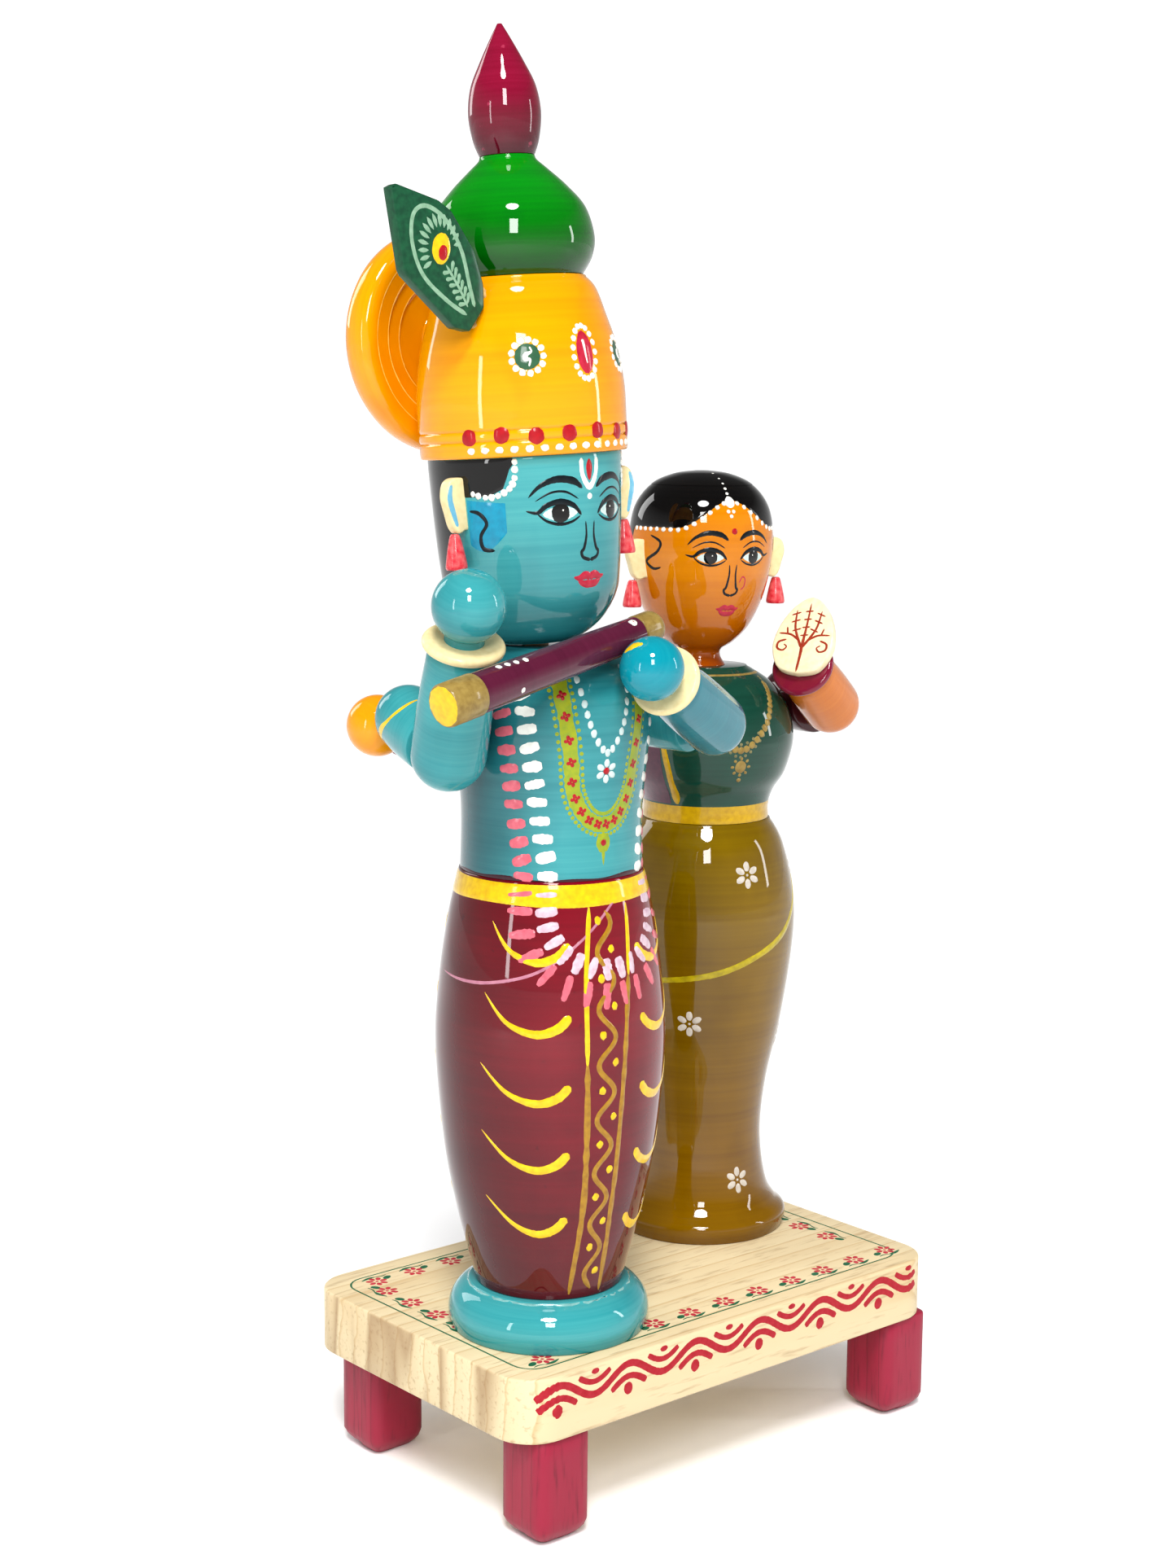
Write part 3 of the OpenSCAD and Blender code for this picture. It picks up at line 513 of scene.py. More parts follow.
class Paint:
    """Painted marks on one surface, as thin closed reliefs gathered in one mesh."""
    ACROSS = (-1, -0.7, -0.3, 0.3, 0.7, 1)  # points over a brush line, as shares of its half width
    RINGS = (0.45, 0.8, 1.0)                # rings of a dab, as shares of its radius
    SKIN = 0.02                             # how far a mark's rim lies below the surface

    def __init__(self, surface, high=0.14, sunk=0.12):
        self.surface, self.high, self.sunk = surface, high, sunk
        self.verts, self.faces = [], []

    def put(self, u, v, x, y, lift):
        """A point x, y mm away from u, v across the surface."""
        a, b = self.surface.per_mm(u, v)
        self.verts.append(self.surface.point(u + x * a, v + y * b, lift))

    def stroke(self, points, width, n=8, wobble=0.06, curve=True, closed=False, tip=0.35):
        """A brush line; width is one number or a number per control point."""
        widths = list(width) if isinstance(width, (list, tuple)) else [width] * len(points)
        rows = [(*p, w) for p, w in zip(points, widths)]
        if closed:
            rows = rows + rows[:1]
        rows = smooth(rows, n) if curve else rows
        count, start, size = len(rows), len(self.verts), len(self.ACROSS) + 2
        for i, (u, v, w) in enumerate(rows):
            a, b = self.surface.per_mm(u, v)
            u0, v0, _ = rows[max(0, i - 1)]
            u1, v1, _ = rows[min(count - 1, i + 1)]
            if closed and i in (0, count - 1):
                (u0, v0, _), (u1, v1, _) = rows[-2], rows[1]
            dx, dy = (u1 - u0) / a, (v1 - v0) / b
            length = math.hypot(dx, dy) or 1.0
            dx, dy = dx / length, dy / length
            half = w / 2 * (1 + random.uniform(-wobble, wobble))
            end = 1.0 if closed else min(1.0, tip + min(i, count - 1 - i) * 0.33)
            high = self.high * min(1.0, 0.5 + w / 3) * end
            half *= end
            for k in self.ACROSS:
                self.put(u, v, -dy * half * k, dx * half * k, high * (1 - k * k) - self.SKIN)
            for k in (1, -1):
                self.put(u, v, -dy * half * k, dx * half * k, -self.sunk)
        for i in range(count - 1):
            bridge(self.faces, start + i * size, start + (i + 1) * size, size)
        if not closed:
            self.faces.append(tuple(start + k for k in reversed(range(size))))
            self.faces.append(tuple(start + (count - 1) * size + k for k in range(size)))
        return self

    def blob(self, u, v, rx, ry=None, turn=0.0, sides=20, uneven=0.05, shape=None):
        """A round, oval or shaped dab; shape gives the radius share for an angle."""
        ry = ry or rx
        start, c, s = len(self.verts), math.cos(math.radians(turn)), math.sin(math.radians(turn))
        high = self.high * min(1.0, 0.5 + rx / 2)
        self.put(u, v, 0, 0, high)
        kick = [1 + random.uniform(-uneven, uneven) for _ in range(sides)]
        rings = [(ring, high * (1 - ring ** 4) - self.SKIN) for ring in self.RINGS] + [(1.0, -self.sunk)]
        for ring, lift in rings:
            for k in range(sides):
                t = 2 * math.pi * k / sides
                share = ring * (shape(t) if shape else 1.0) * kick[k]
                x, y = rx * share * math.cos(t), ry * share * math.sin(t)
                self.put(u, v, x * c - y * s, x * s + y * c, lift)
        for k in range(sides):
            m = (k + 1) % sides
            self.faces.append((start, start + 1 + k, start + 1 + m))
            for j in range(len(self.RINGS)):
                a = start + 1 + j * sides
                self.faces.append((a + k, a + sides + k, a + sides + m, a + m))
        self.faces.append(tuple(start + 1 + len(self.RINGS) * sides + k for k in reversed(range(sides))))
        return self

    def dabs(self, spots, *size, **style):
        """The same dab at each spot."""
        for u, v in spots:
            self.blob(u, v, *size, **style)
        return self

    def petals(self, u, v, count, far, long, wide, turn=0.0):
        a, b = self.surface.per_mm(u, v)
        for k in range(count):
            t = turn + 360 * k / count
            x, y = far * math.cos(math.radians(t)), far * math.sin(math.radians(t))
            self.blob(u + x * a, v + y * b, long, wide, t, 14)
        return self

    def bead_ring(self, u, v, count, rx, ry, r, slant=0.0):
        """Beads on an oval, which slant turns a little."""
        a, b = self.surface.per_mm(u, v)
        for k in range(count):
            t = 2 * math.pi * k / count
            x, y = rx * math.cos(t) + slant * math.sin(t), ry * math.sin(t)
            self.blob(u + x * a, v + y * b, r, uneven=0.1, sides=14)
        return self

    def area(self, columns, low, high, rows=14, lift=0.09):
        """A painted patch over the listed u values, from low(u) to high(u). It closes on itself over 360."""
        start, loop = len(self.verts), abs(columns[-1] - columns[0] - 360) < 1e-6
        if loop:
            columns = columns[:-1]
        for u in columns:
            a, b = low(u), high(u)
            for level in (lift, -self.sunk):
                for k in range(rows + 1):
                    edge = -self.SKIN if k in (0, rows) and level > 0 else level
                    self.verts.append(self.surface.point(u, a + (b - a) * k / rows, edge))
        size, count = 2 * (rows + 1), len(columns)
        for i in range(count if loop else count - 1):
            a, b = start + i * size, start + (i + 1) % count * size
            for k in range(rows):
                self.faces.append((a + k, b + k, b + k + 1, a + k + 1))
                self.faces.append((a + rows + 1 + k, a + rows + 2 + k, b + rows + 2 + k, b + rows + 1 + k))
            self.faces.append((a, a + rows + 1, b + rows + 1, b))
            self.faces.append((a + rows, b + rows, b + size - 1, a + size - 1))
        if not loop:
            for a, flip in ((start, 1), (start + (count - 1) * size, -1)):
                ring = [a + k for k in range(rows + 1)] + [a + size - 1 - k for k in range(rows + 1)]
                self.faces.append(tuple(ring[::flip]))
        return self

    def done(self, name, material):
        add(name, self.verts, self.faces, material, self.surface.matrix, angle=60)


# ---------------- places of the turned bodies

ring_mid, _, _ = middle("player_base_ring")
sari_mid, _, _ = middle("companion_sari")
player = Vector((ring_mid.x, ring_mid.y, board_high.z))
companion = Vector((sari_mid.x, sari_mid.y, board_high.z))
ring_h, skirt_h, torso_h, head_h, crown_h, bulb_h = 11, 96.5, 50, 41, 38, 25.8
sari_h, bodice_h = 107, 38.6
seam, neck_gap = 0.06, 0.7
head_back, head_lean, companion_turn = 3.9, 3.6, 17

at_player = move(*player)
skirt_m = at_player @ move(0, 0, ring_h)
torso_m = skirt_m @ move(0, 0, skirt_h)
head_m = (torso_m @ move(head_back * lean.x, head_back * lean.y, torso_h + neck_gap)
          @ Matrix.Rotation(math.radians(head_lean), 4, Vector((-lean.y, lean.x, 0))))
crown_m = head_m @ move(0, 0, head_h + seam)
bulb_m = crown_m @ move(0, 0, crown_h + seam)
finial_m = bulb_m @ move(0, 0, bulb_h + seam)
sari_m = move(*companion) @ turn(-companion_turn)
bodice_m = sari_m @ move(0, 0, sari_h)
chead_shift = (-1.6, 1.4, 0)  # the companion's head sits a little off its body's axis
chead_m = move(*chead_shift) @ bodice_m @ move(0, 0, bodice_h)


def turned(node, matrix, material, slot, outline, **style):
    surface = Turned(matrix, slot, outline, **style)
    surface.build(node.replace("_", "-") + "-turned", material, [node])
    return surface


ring = turned("player_base_ring", at_player, teal, "teal_lacquer",
              [[22.3, 0], [23.2, 3.6], [22.5, 7], [20.4, 9.6], [17.4, 11]])
skirt = turned("player_skirt", skirt_m, maroon, "skirt_lacquer",
               [[16.9, 0], [19.3, 9], [21.2, 16.7], [24.2, 32.3], [26.2, 55], [25.4, 70.6], [23.3, 85.6],
                [20.8, skirt_h]])
torso = turned("player_torso", torso_m, teal_torso, "teal_lacquer",
               [[20.6, 0], [20.4, 12.5], [21.1, 22], [22, 31.5], [21.6, 39], [19.9, 44], [16.6, 47.9],
                [12, torso_h]], edge=0.2)
head = turned("player_head", head_m, teal_head, "teal_lacquer",
              [[8, 0], [12, 1.7], [15.8, 5], [18.6, 9.8], [19.6, 14.4], [20.5, 25], [21.3, head_h]], edge=0.2)
crown = turned("player_crown", crown_m, amber, "crown_lacquer",
               [[22.8, 0], [22.9, 7], [22.8, 14.5], [21.6, 22.5], [19.6, 29.4], [17.6, 35.2], [15.2, crown_h]],
               grooves=(3.4, 5.6))
turned("player_crown_bulb", bulb_m, green, "bulb_lacquer",
       [[15, 0], [17.2, 3.6], [18, 8], [16.4, 14.2], [12.6, 19], [8.6, 22.8], [6.4, 24.8], [6, bulb_h]],
       edge=0.2)
turned("player_finial", finial_m, crimson, "finial_lacquer",
       [[6, 0], [7.2, 3.4], [7.9, 8.8], [7.1, 14.4], [4.9, 19.4], [2.3, 24.4], [0.5, 27.6]], edge=0.15)
sari = turned("companion_sari", sari_m, olive, "sari_lacquer",
              [[21.5, 0], [22.3, 4], [19.6, 7], [17.4, 11], [15.9, 19], [15.6, 28], [17, 40], [20, 54],
               [22.4, 70], [23.2, 82], [22.2, 91], [19.6, 101], [16.2, sari_h]])
bodice = turned("companion_bodice", bodice_m, bottle, "bodice_lacquer",
                [[16, 0], [15.9, 3.4], [17.2, 7.4], [20, 12], [21.9, 19], [21.6, 24.4], [19.4, 30.4],
                 [15.6, 34.8], [9.6, bodice_h]], edge=0.2)
chead = turned("companion_head", chead_m, ochre, "skin_lacquer",
               [[6.6, 0], [5.3, 2.2], [5.6, 4], [8.6, 6], [12.4, 10.2], [15.6, 17], [17.5, 25], [18, 32.4],
                [16.6, 39.8], [12.6, 45], [7, 47.6], [1.5, 48.4]], edge=0.1)

# The halo: a stepped disc on a short hub behind the crown, its steps caught by a paler line of thin lacquer
halo_back, halo_z = 22.4, 67
halo_m = head_m @ move(0, halo_back, halo_z) @ turn(-90, "X")
lathe("player-halo-disc",
      [(0.01, 3), (8, 3.05), (12.9, 3), (13.3, 2.85), (13.7, 2.3), (14.1, 2.2), (16.7, 2.1), (17.1, 1.95),
       (17.5, 1.25), (17.9, 1.1), (20.6, 0.65), (21, 0.45), (21.3, 0.3), (23.2, 0.2), (24.2, 0.7), (24.9, 1.7),
       (25.2, 3.2), (25.2, 5.2), (24.8, 7), (24, 8.4), (23, 9)], amber_halo, halo_m,
      ["player_halo"], angle=70)
lathe("player-halo-hub", [(5.5, -6.5), (5.5, -3), (5.6, 0), (6.2, 2.4), (7.2, 3.2)], amber_halo,
      halo_m)
for r, z in ((13.9, 2.25), (17.6, 1.2), (21.1, 0.42)):
    steps = Paint(Flat(halo_m @ move(0, 0, z) @ turn(180, "X"), "crown_lacquer"), 0.1, 0.3)
    steps.stroke(arc(r, 0, 356, 89), 0.42, wobble=0.3, curve=False, closed=True)
    steps.done(f"halo-step-{r:.0f}", pale_line)

# ---------------- arms

upper_r, sleeve_r, forearm_r, wrist_r, hand_r = 7.5, 8, 8.3, 7.4, 7.9
bangle_r, bangle_t = 8.9, 2
flat_in = 6.6                    # how far the upper arm's flat end stays from the elbow
small = 0.89                     # size of three of the four forearms and hands
neck = 0.55                      # a ball hand's neck, as a share of its radius
rise = math.sqrt(1 - neck ** 2)  # and how far below its centre the ball meets it


def limb(node, a, b, r0, r1, length, material):
    """A round-ended arm piece from a towards b, with a flat end at length."""
    swell, rim = 0.25, 0.4
    side = [(r0 + (r1 - r0) * t + swell * math.sin(math.pi * t), (length - rim) * t) for t in spread(0, 1, 8)[1:]]
    line = arc(r0, -90, 0, 14)[1:] + side + [(r1 - 0.15, length - 0.1), (r1 - 0.5, length)]
    lathe(node.replace("_", "-"), line, material, aim(a, b), [node], 96)


def arm(owner, side, shoulder, elbow, hand, size, upper_r, looks, slots, flat=False):
    """Upper arm, forearm, bangle and ball hand, or no hand where a flat palm takes its place."""
    along, r, ring_r, t = (hand - elbow).normalized(), hand_r * size, bangle_r * size, bangle_t
    wrist = hand - along * (t if flat else rise * r + 1.5 + t)
    limb(f"{owner}_upper_arm_{side}", shoulder, elbow, upper_r, upper_r,
         (elbow - shoulder).length - flat_in + 1, looks[0])
    limb(f"{owner}_forearm_{side}", elbow, hand, forearm_r * size, wrist_r * size, (wrist - elbow).length,
         looks[1])
    inner = ring_r - t / 2
    lathe(f"{owner}-bangle-{side}", [(inner, 0)] + arc(t / 2, -90, 90, 12, inner, t / 2)[1:-1] + [(inner, t)],
          looks[2], aim(wrist, hand), [f"{owner}_bangle_{side}"], 96)
    if not flat:
        ball = [(max(x, 0.01), z) for x, z in arc(r, -math.degrees(math.asin(rise)), 90, 24)]
        lathe(f"{owner}-hand-{side}", [(neck * r, -rise * r - 1.5), (neck * r, -rise * r - 0.5)] + ball,
              looks[3], aim(hand, hand + along), [f"{owner}_hand_{side}"], 96)


def joints(origin, *points):
    return [origin + Vector(p) for p in points]


p_right = joints(player, (-28.6, 15.1, 141.4), (-30.8, -2.3, 135.8), (-36, -16, 168.6))
p_left = joints(player, (28.9, 8, 140), (35.2, -15.4, 138.5), (2, -30.8, 154.5))
c_right = joints(player, (47, 35, 137.6), (14, 38.4, 137.6), (-25.9, 30.6, 138))
c_left = joints(companion, (30.2, 0, 135), (27.6, -16.6, 135), (9.2, -24.1, 146.8))
teal_slots = ("teal_lacquer", "teal_lacquer", "cream_wood", "teal_lacquer")
skin_slots = ("sleeve_lacquer", "skin_lacquer", "bangle_lacquer", "skin_lacquer")
sleeved = (dark_sleeve, ochre_arm, wine, gold_hand)
arm("player", "right", *p_right, 1.0, upper_r, (teal, teal, cream, teal), teal_slots)
arm("player", "left", *p_left, small, upper_r, (teal, teal_arm, cream, teal_bright), teal_slots)
arm("companion", "right", *c_right, small, forearm_r * small, sleeved, skin_slots)
arm("companion", "left", *c_left, small, sleeve_r, sleeved, skin_slots, flat=True)

palm_t, palm_up = 2.6, 6.2
palm_half = smooth([[0, -9.6], [5.2, -8.2], [7.8, -3], [7.3, 2.6], [5, 7.6], [2.1, 10.6], [0, 11.4]], 6)
palm_m = aim(c_left[2], c_left[2] + (c_left[2] - c_left[1]).normalized()) @ turn(90) @ move(0, palm_up, 0)
plate("companion-palm-left", palm_half[:-1] + mirrored(-1, reversed(palm_half[1:])), palm_t, 0.5, ivory,
      palm_m, ["companion_palm_left"])
palm = Flat(palm_m @ move(0, 0, palm_t), "cream_wood")

# ---------------- flute, feather, ears, earrings

flute_a, flute_b = joints(player, (-50.4, -26.2, 149.8), (14, -20.6, 162.9))
flute_l, flute_r, tip_r = 65, 4.6, 3.6
flute_m = aim(flute_a, flute_b)
cap = 0.9 * tip_r            # length of the rounded end
tip_z = flute_l - cap - 4.4  # where the gilded tip starts
round_end = [((tip_r + 0.15) * math.cos(t), flute_l - cap + cap * math.sin(t))
             for t in spread(0, math.pi / 2, 12)[:-1]] + [(0.05, flute_l)]
for name, material, line, nodes in (
        ("body", plum, [(4.2, 8.4), (flute_r - 0.25, 9), (4.3, 16), (4.05, 30), (3.85, 44), (tip_r, tip_z),
                        (tip_r - 0.3, tip_z + 0.2)], ["flute"]),
        ("cap", gold, [(flute_r - 0.7, 0), (flute_r - 0.25, 0.08), (flute_r, 0.45), (flute_r + 0.04, 4),
                       (flute_r, 8.4), (flute_r - 0.15, 8.7), (flute_r - 0.4, 8.9)], ()),
        ("tip", gold, [(tip_r - 0.3, tip_z), (tip_r + 0.15, tip_z + 0.3)] + round_end, ())):
    lathe(f"flute-{name}", line, material, flute_m, nodes)
flute = Turned(flute_m, "flute_lacquer", [[flute_r, 0], [flute_r - 0.2, 9], [4.05, 30], [tip_r, 58],
                                          [tip_r, flute_l]])
flute_end = Flat(flute_m @ turn(180, "X"), "flute_lacquer")

plate_t = 3.0  # feather and ears
feather_front = -10.5
feather_m = head_m @ move(0, feather_front + plate_t, 0) @ turn(90, "X")
feather_outline = [[-39.2, 97], [-37.8, 97.6], [-27.3, 94.4], [-24, 92.2], [-18.6, 84], [-16.8, 77.2],
                   [-17, 72.4], [-21.1, 67.6], [-24.9, 68.4], [-37.2, 79.8]]
rounded = []
for i, (x, y) in enumerate(feather_outline):
    before, after = feather_outline[i - 1], feather_outline[(i + 1) % len(feather_outline)]
    for (x1, y1), t in ((before, 0.12), (before, 0.04), (after, 0.04), (after, 0.12)):
        rounded.append((x + (x1 - x) * t, y + (y1 - y) * t))
plate("player-feather-plate", rounded, plate_t, 0.35, feather_green, feather_m,
      ["player_feather"])
feather = Flat(feather_m @ move(0, 0, plate_t), "feather_paint")

EAR = [[-3, 0.6], [0, 0.6], [1.6, 0], [2.9, 1.4], [3.7, 4.2], [4.5, 7.6], [3.9, 10.6], [2.2, 11.8], [0, 11.8],
       [-3, 11.8]]
ear_smooth = [tuple(EAR[0])] + smooth(EAR[1:-1], 5) + [tuple(EAR[-1])]
flare = smooth([(2.2, 0), (2.32, 0.3), (2.35, 1), (1.9, 4), (1.2, 7.4), (0.8, 8.2)], 4)
ear_h, flare_h = 11.8, 8.2  # the heights those two outlines are drawn at


def ear(owner, side, base, inner, y, z, high, ring_x, ring_h):
    """An ear plate beside the head, its painted rim, and the earring that hangs below it."""
    name = f"{owner}-ear-{'right' if side < 0 else 'left'}"
    spot = base @ move(side * inner, y + plate_t / 2, z) @ turn(90, "X")
    outline = [(side * x, h * high / ear_h) for x, h in ear_smooth]
    plate(name, outline, plate_t, 0.55, cream, spot, [name.replace("-", "_")])
    if owner == "player":
        rim = Paint(Flat(spot @ move(0, 0, plate_t), "cream_wood"), 0.06, 0.1)
        rim.stroke([(side * (x - 0.8), h * high / ear_h) for x, h in EAR[3:7]], [0.8, 1.3, 1.4, 0.8])
        rim.done(f"{name}-blue-rim", ear_blue)
    lathe(name.replace("ear", "earring"), [(r, h * ring_h / flare_h) for r, h in flare], earring_red,
          base @ move(side * ring_x, y, z - ring_h - 0.1),
          [name.replace("-ear-", "_earring_")], 48)


for side in (-1, 1):
    ear("player", side, head_m, 20.7, -2.8 if side < 0 else -6, 25.4, 11.8, 22.7, 7.6)
    ear("companion", side, chead_m, 17.2, -2.5, 21.8, 10, 20, 6.6)

# ---------------- stand

corner = 10
board_m = move(board_mid.x, board_mid.y, board_low.z)
plate("stand-board", rounded_box(board_x, board_y, corner, 12), board_high.z - board_low.z, 0.6, pale_wood,
      board_m, ["stand_board"])


def leg(node, seed):
    """A square leg, cut by hand: rounded edges and a worn, rounded foot."""
    centre, low, high = middle(node)
    rnd, verts, faces = random.Random(seed), [], []
    half, tall, sides = (high.x - low.x) / 2, high.z - low.z, 40
    worn = [rnd.uniform(0.0, 1.0) for _ in range(4)]
    levels = [0, 0.25, 0.7, 1.4, 2.4, 3.8, 6, 10, 15, 20, tall - 0.4, tall]
    for z in levels:
        pull = 2.6 * (1 - min(z / 4.2, 1)) ** 2 + (0.3 if z == tall else 0)
        for k in range(sides):
            t = 2 * math.pi * (k + 0.5) / sides
            blunt = worn[int(t / (math.pi / 2)) % 4]
            power = 7.5 - 1.5 * blunt
            square = (abs(math.cos(t)) ** power + abs(math.sin(t)) ** power) ** (1 / power)
            r = (half - pull * (1 + 0.4 * blunt)) / square
            verts.append((centre.x + r * math.cos(t), centre.y + r * math.sin(t), low.z + z))
    for j in range(len(levels) - 1):
        bridge(faces, j * sides, (j + 1) * sides, sides)
    faces.append(tuple(reversed(range(sides))))
    faces.append(tuple((len(levels) - 1) * sides + k for k in range(sides)))
    add(node.replace("_", "-"), verts, faces, stained, replaces=[node], angle=60)


for seed, node in enumerate(("leg_front_left", "leg_front_right", "leg_back_left", "leg_back_right")):
    leg(node, seed)

# The border line, and a run of small stamped flowers with leaves inside it
top = Flat(move(board_mid.x, board_mid.y, board_high.z), "natural_wood")
line_x, line_y, bend = board_x - 5.9, board_y - 5.9, 5.5
border = Paint(top, 0.05, 0.1)
border.stroke(rounded_box(line_x, line_y, bend, 6), 0.75, curve=False, closed=True)
border.done("board-border", ink_green)
flowers, leaves = Paint(top, 0.05, 0.1), Paint(top, 0.05, 0.1)
run_x, run_y, flower_gap = line_x - 5.6, line_y - 4.2, 11.2
spots = [(2.8 + flower_gap * (k - 5), sy * run_y, 0 if sy < 0 else 180) for k in range(11) for sy in (-1, 1)]
spots += [(sx * run_x, 24.7 - 9.9 * k, 90 * sx) for k in range(5) for sx in (-1, 1)]
for x, y, facing in spots:
    c, s = math.cos(math.radians(facing)), math.sin(math.radians(facing))

    def beside(*points):
        return [(x + a * c - b * s, y + a * s + b * c) for a, b in points]
    flowers.petals(x, y, 7, 1.8, 1.1, 0.74, random.uniform(0, 50)).blob(x, y, 0.5)
    leaves.dabs(beside((-3.6, -0.9)), 1.5, 1.0, facing + 25, 12)
    leaves.stroke(beside((-4.6, -2.6), (-3.0, -2.3), (-1.2, -2.8)), [0.4, 0.7, 0.5])
    leaves.stroke(beside((-1.6, -2.8), (0.6, -2.9), (3.2, -2.1)), [0.5, 1.35, 0.4])
flowers.done("board-flowers", ink_red)
leaves.done("board-leaves", ink_green)

# A thick wave on the front and back edges, with an arc and a dot nested in every bend
period, swing, gap, first_crest, wave_z = 20.56, 2.25, 2.95, -56.7, 10.55
wave_start, wave_end, wave_top = -62.5, 59.5, 14.0


def wave_line(lift, start, end, n):
    """The wave raised by lift, between two places in mm along the edge."""
    return [(x, min(wave_top, wave_z + lift + swing * math.cos(2 * math.pi * (x - first_crest) / period)))
            for x in spread(start, end, n)]


for facing, name in ((0, "front"), (180, "back")):
    wave = Paint(Rim(board_m @ turn(facing), "natural_wood"), 0.06, 0.1)
    wave.stroke(wave_line(0, wave_start, wave_end, 110), 2.15, 2, tip=0.8)
    for k in range(6):
        crest, trough = first_crest + k * period, first_crest + (k + 0.5) * period
        wave.stroke(wave_line(-gap, crest - 5.3, crest + 5.1, 10), 1.9, 2, tip=0.75)
        wave.blob(crest - 0.3, wave_z + swing - 2 * gap + 0.1, 1.5, 1.65)
        wave.stroke(wave_line(gap, trough - 4.6, min(trough + 4.6, wave_end), 10), 1.7, 2, tip=0.75)
        wave.blob(trough + 0.2, 13.6, 1.3, 0.75)
    wave.done(f"board-wave-{name}", wave_red)

# ---------------- crown, feather and flute ornament

dots, beads = Paint(crown, 0.25), Paint(crown, 0.3)
dots.dabs([(-69.3 + 18.6 * k, 4.4 + 0.3 * math.sin(2.1 * k)) for k in range(8)], 1.75, 1.8, uneven=0.04)
dots.done("crown-red-dots", red)
beads.dabs([(-68.4 + 8.1 * k, 1.6) for k in range(18)], 0.95, 0.75, uneven=0.12, sides=14)
discs, ovals = Paint(crown, 0.12), Paint(crown, 0.12)
disc_z, oval_u, oval_z = 20.7, 1, 21.1
for u in (-34.3, 36.5):
    discs.blob(u, disc_z, 2.9, 3.0, sides=28, uneven=0.03)
    beads.bead_ring(u, disc_z, 13, 3.45, 3.6, 0.74)
    curl = [(0.5, 2.0), (0.9, 1.0), (-0.3, 0.4), (-0.4, -0.5), (0.5, -0.7), (0.2, -2.1)]
    beads.stroke([(u + x * 2.6, disc_z + y) for x, y in curl], [0.5, 0.6, 1.4, 1.4, 0.8, 0.5])
ovals.blob(oval_u, oval_z, 2.3, 4.9, turn=-3, sides=32, uneven=0.03)
beads.stroke([(0.6, 23.8), (0.9, 22.6), (1.0, 20.6), (1.4, 18.6)], [0.9, 0.9, 0.7, 0.4])
beads.bead_ring(oval_u, oval_z, 17, 3.0, 5.7, 0.7, slant=0.3)
beads.done("crown-white-beads", white)
discs.done("crown-green-discs", bead_green)
ovals.done("crown-maroon-oval", lip_red)
chips = Paint(crown, 0.35)
for u, v, w, h in ((-87, 32.5, 1.2, 0.8), (-82, 28.6, 1.5, 0.7), (-74, 27.6, 1.3, 0.8), (-66.5, 28.4, 0.9, 1.3),
                   (-63, 31.5, 0.6, 1.6), (-61, 34.5, 0.7, 1.4)):
    chips.blob(u, v, w, h, uneven=0.3, sides=14)
chips.done("crown-slot-chips", chip_wood)

marks = Paint(feather, 0.12)
marks.stroke([(-21.8, 71), (-27, 74.2), (-32.6, 79.4), (-34.8, 86), (-34, 91.6), (-30.6, 93.2), (-25.8, 90.4),
              (-22.2, 84.2), (-20.6, 77), (-19.6, 72.6)], 1.05)
for k in range(14):
    c, d = math.cos(math.radians(8 + 16 * k)), math.sin(math.radians(8 + 16 * k))
    marks.stroke([(-27.4 + 3.3 * c, 84.6 + 4.4 * d), (-27.5 + 4.6 * c, 84.7 + 5.8 * d),
                  (-27.8 + 5.6 * c, 84.8 + 7.1 * d)], [0.4, 1.1, 0.5], 4)
marks.stroke([(-26.4, 81.2), (-23.4, 76.6), (-21.4, 72.6)], 0.7)
for k in range(6):
    u, v = -25.4 + 0.72 * k, 79.8 - 1.3 * k
    marks.stroke([(u, v), (u - 2.0, v - 0.2)], [0.6, 1.15])
    marks.stroke([(u + 0.4, v), (u + 0.9, v + 2.3)], [0.6, 1.15])
marks.done("feather-leaf-marks", leaf_grey)
Paint(feather, 0.15).blob(-27.4, 84.6, 2.4, 3.4, -14, 28, 0.03).done("feather-eye", yellow)
Paint(feather, 0.3).blob(-27.1, 83.8, 1.35, 1.9, -14, 24, 0.03).done("feather-eye-centre", red)

Paint(flute_end, 0.25, 0.1).blob(0, 0, 4.15, 4.15, sides=36, uneven=0.03).done("flute-end-paint", yellow)
Paint(flute_end, 0.34, 0.1).stroke([(-3.2, -0.4), (-1, 0.2), (0.6, -0.2), (2.2, -1.5)],
                                   [0.25, 0.5, 0.4, 0.2]).done("flute-end-crack", chip_wood)
drops = Paint(flute, 0.25)
for u, v, r in ((-75, 15.4, 0.8), (-72, 17.7, 0.8), (-68, 20.0, 0.75), (-65, 22.5, 0.75), (22, 18.7, 0.7),
                (-59, 55.2, 1.15)):
    drops.blob(u, v, r, r * 0.9, uneven=0.1, sides=14)
drops.done("flute-white-dots", white)
Paint(flute, 0.32).blob(-59, 55.2, 0.6).done("flute-red-dot", red)

# ---------------- arm ornament and glue

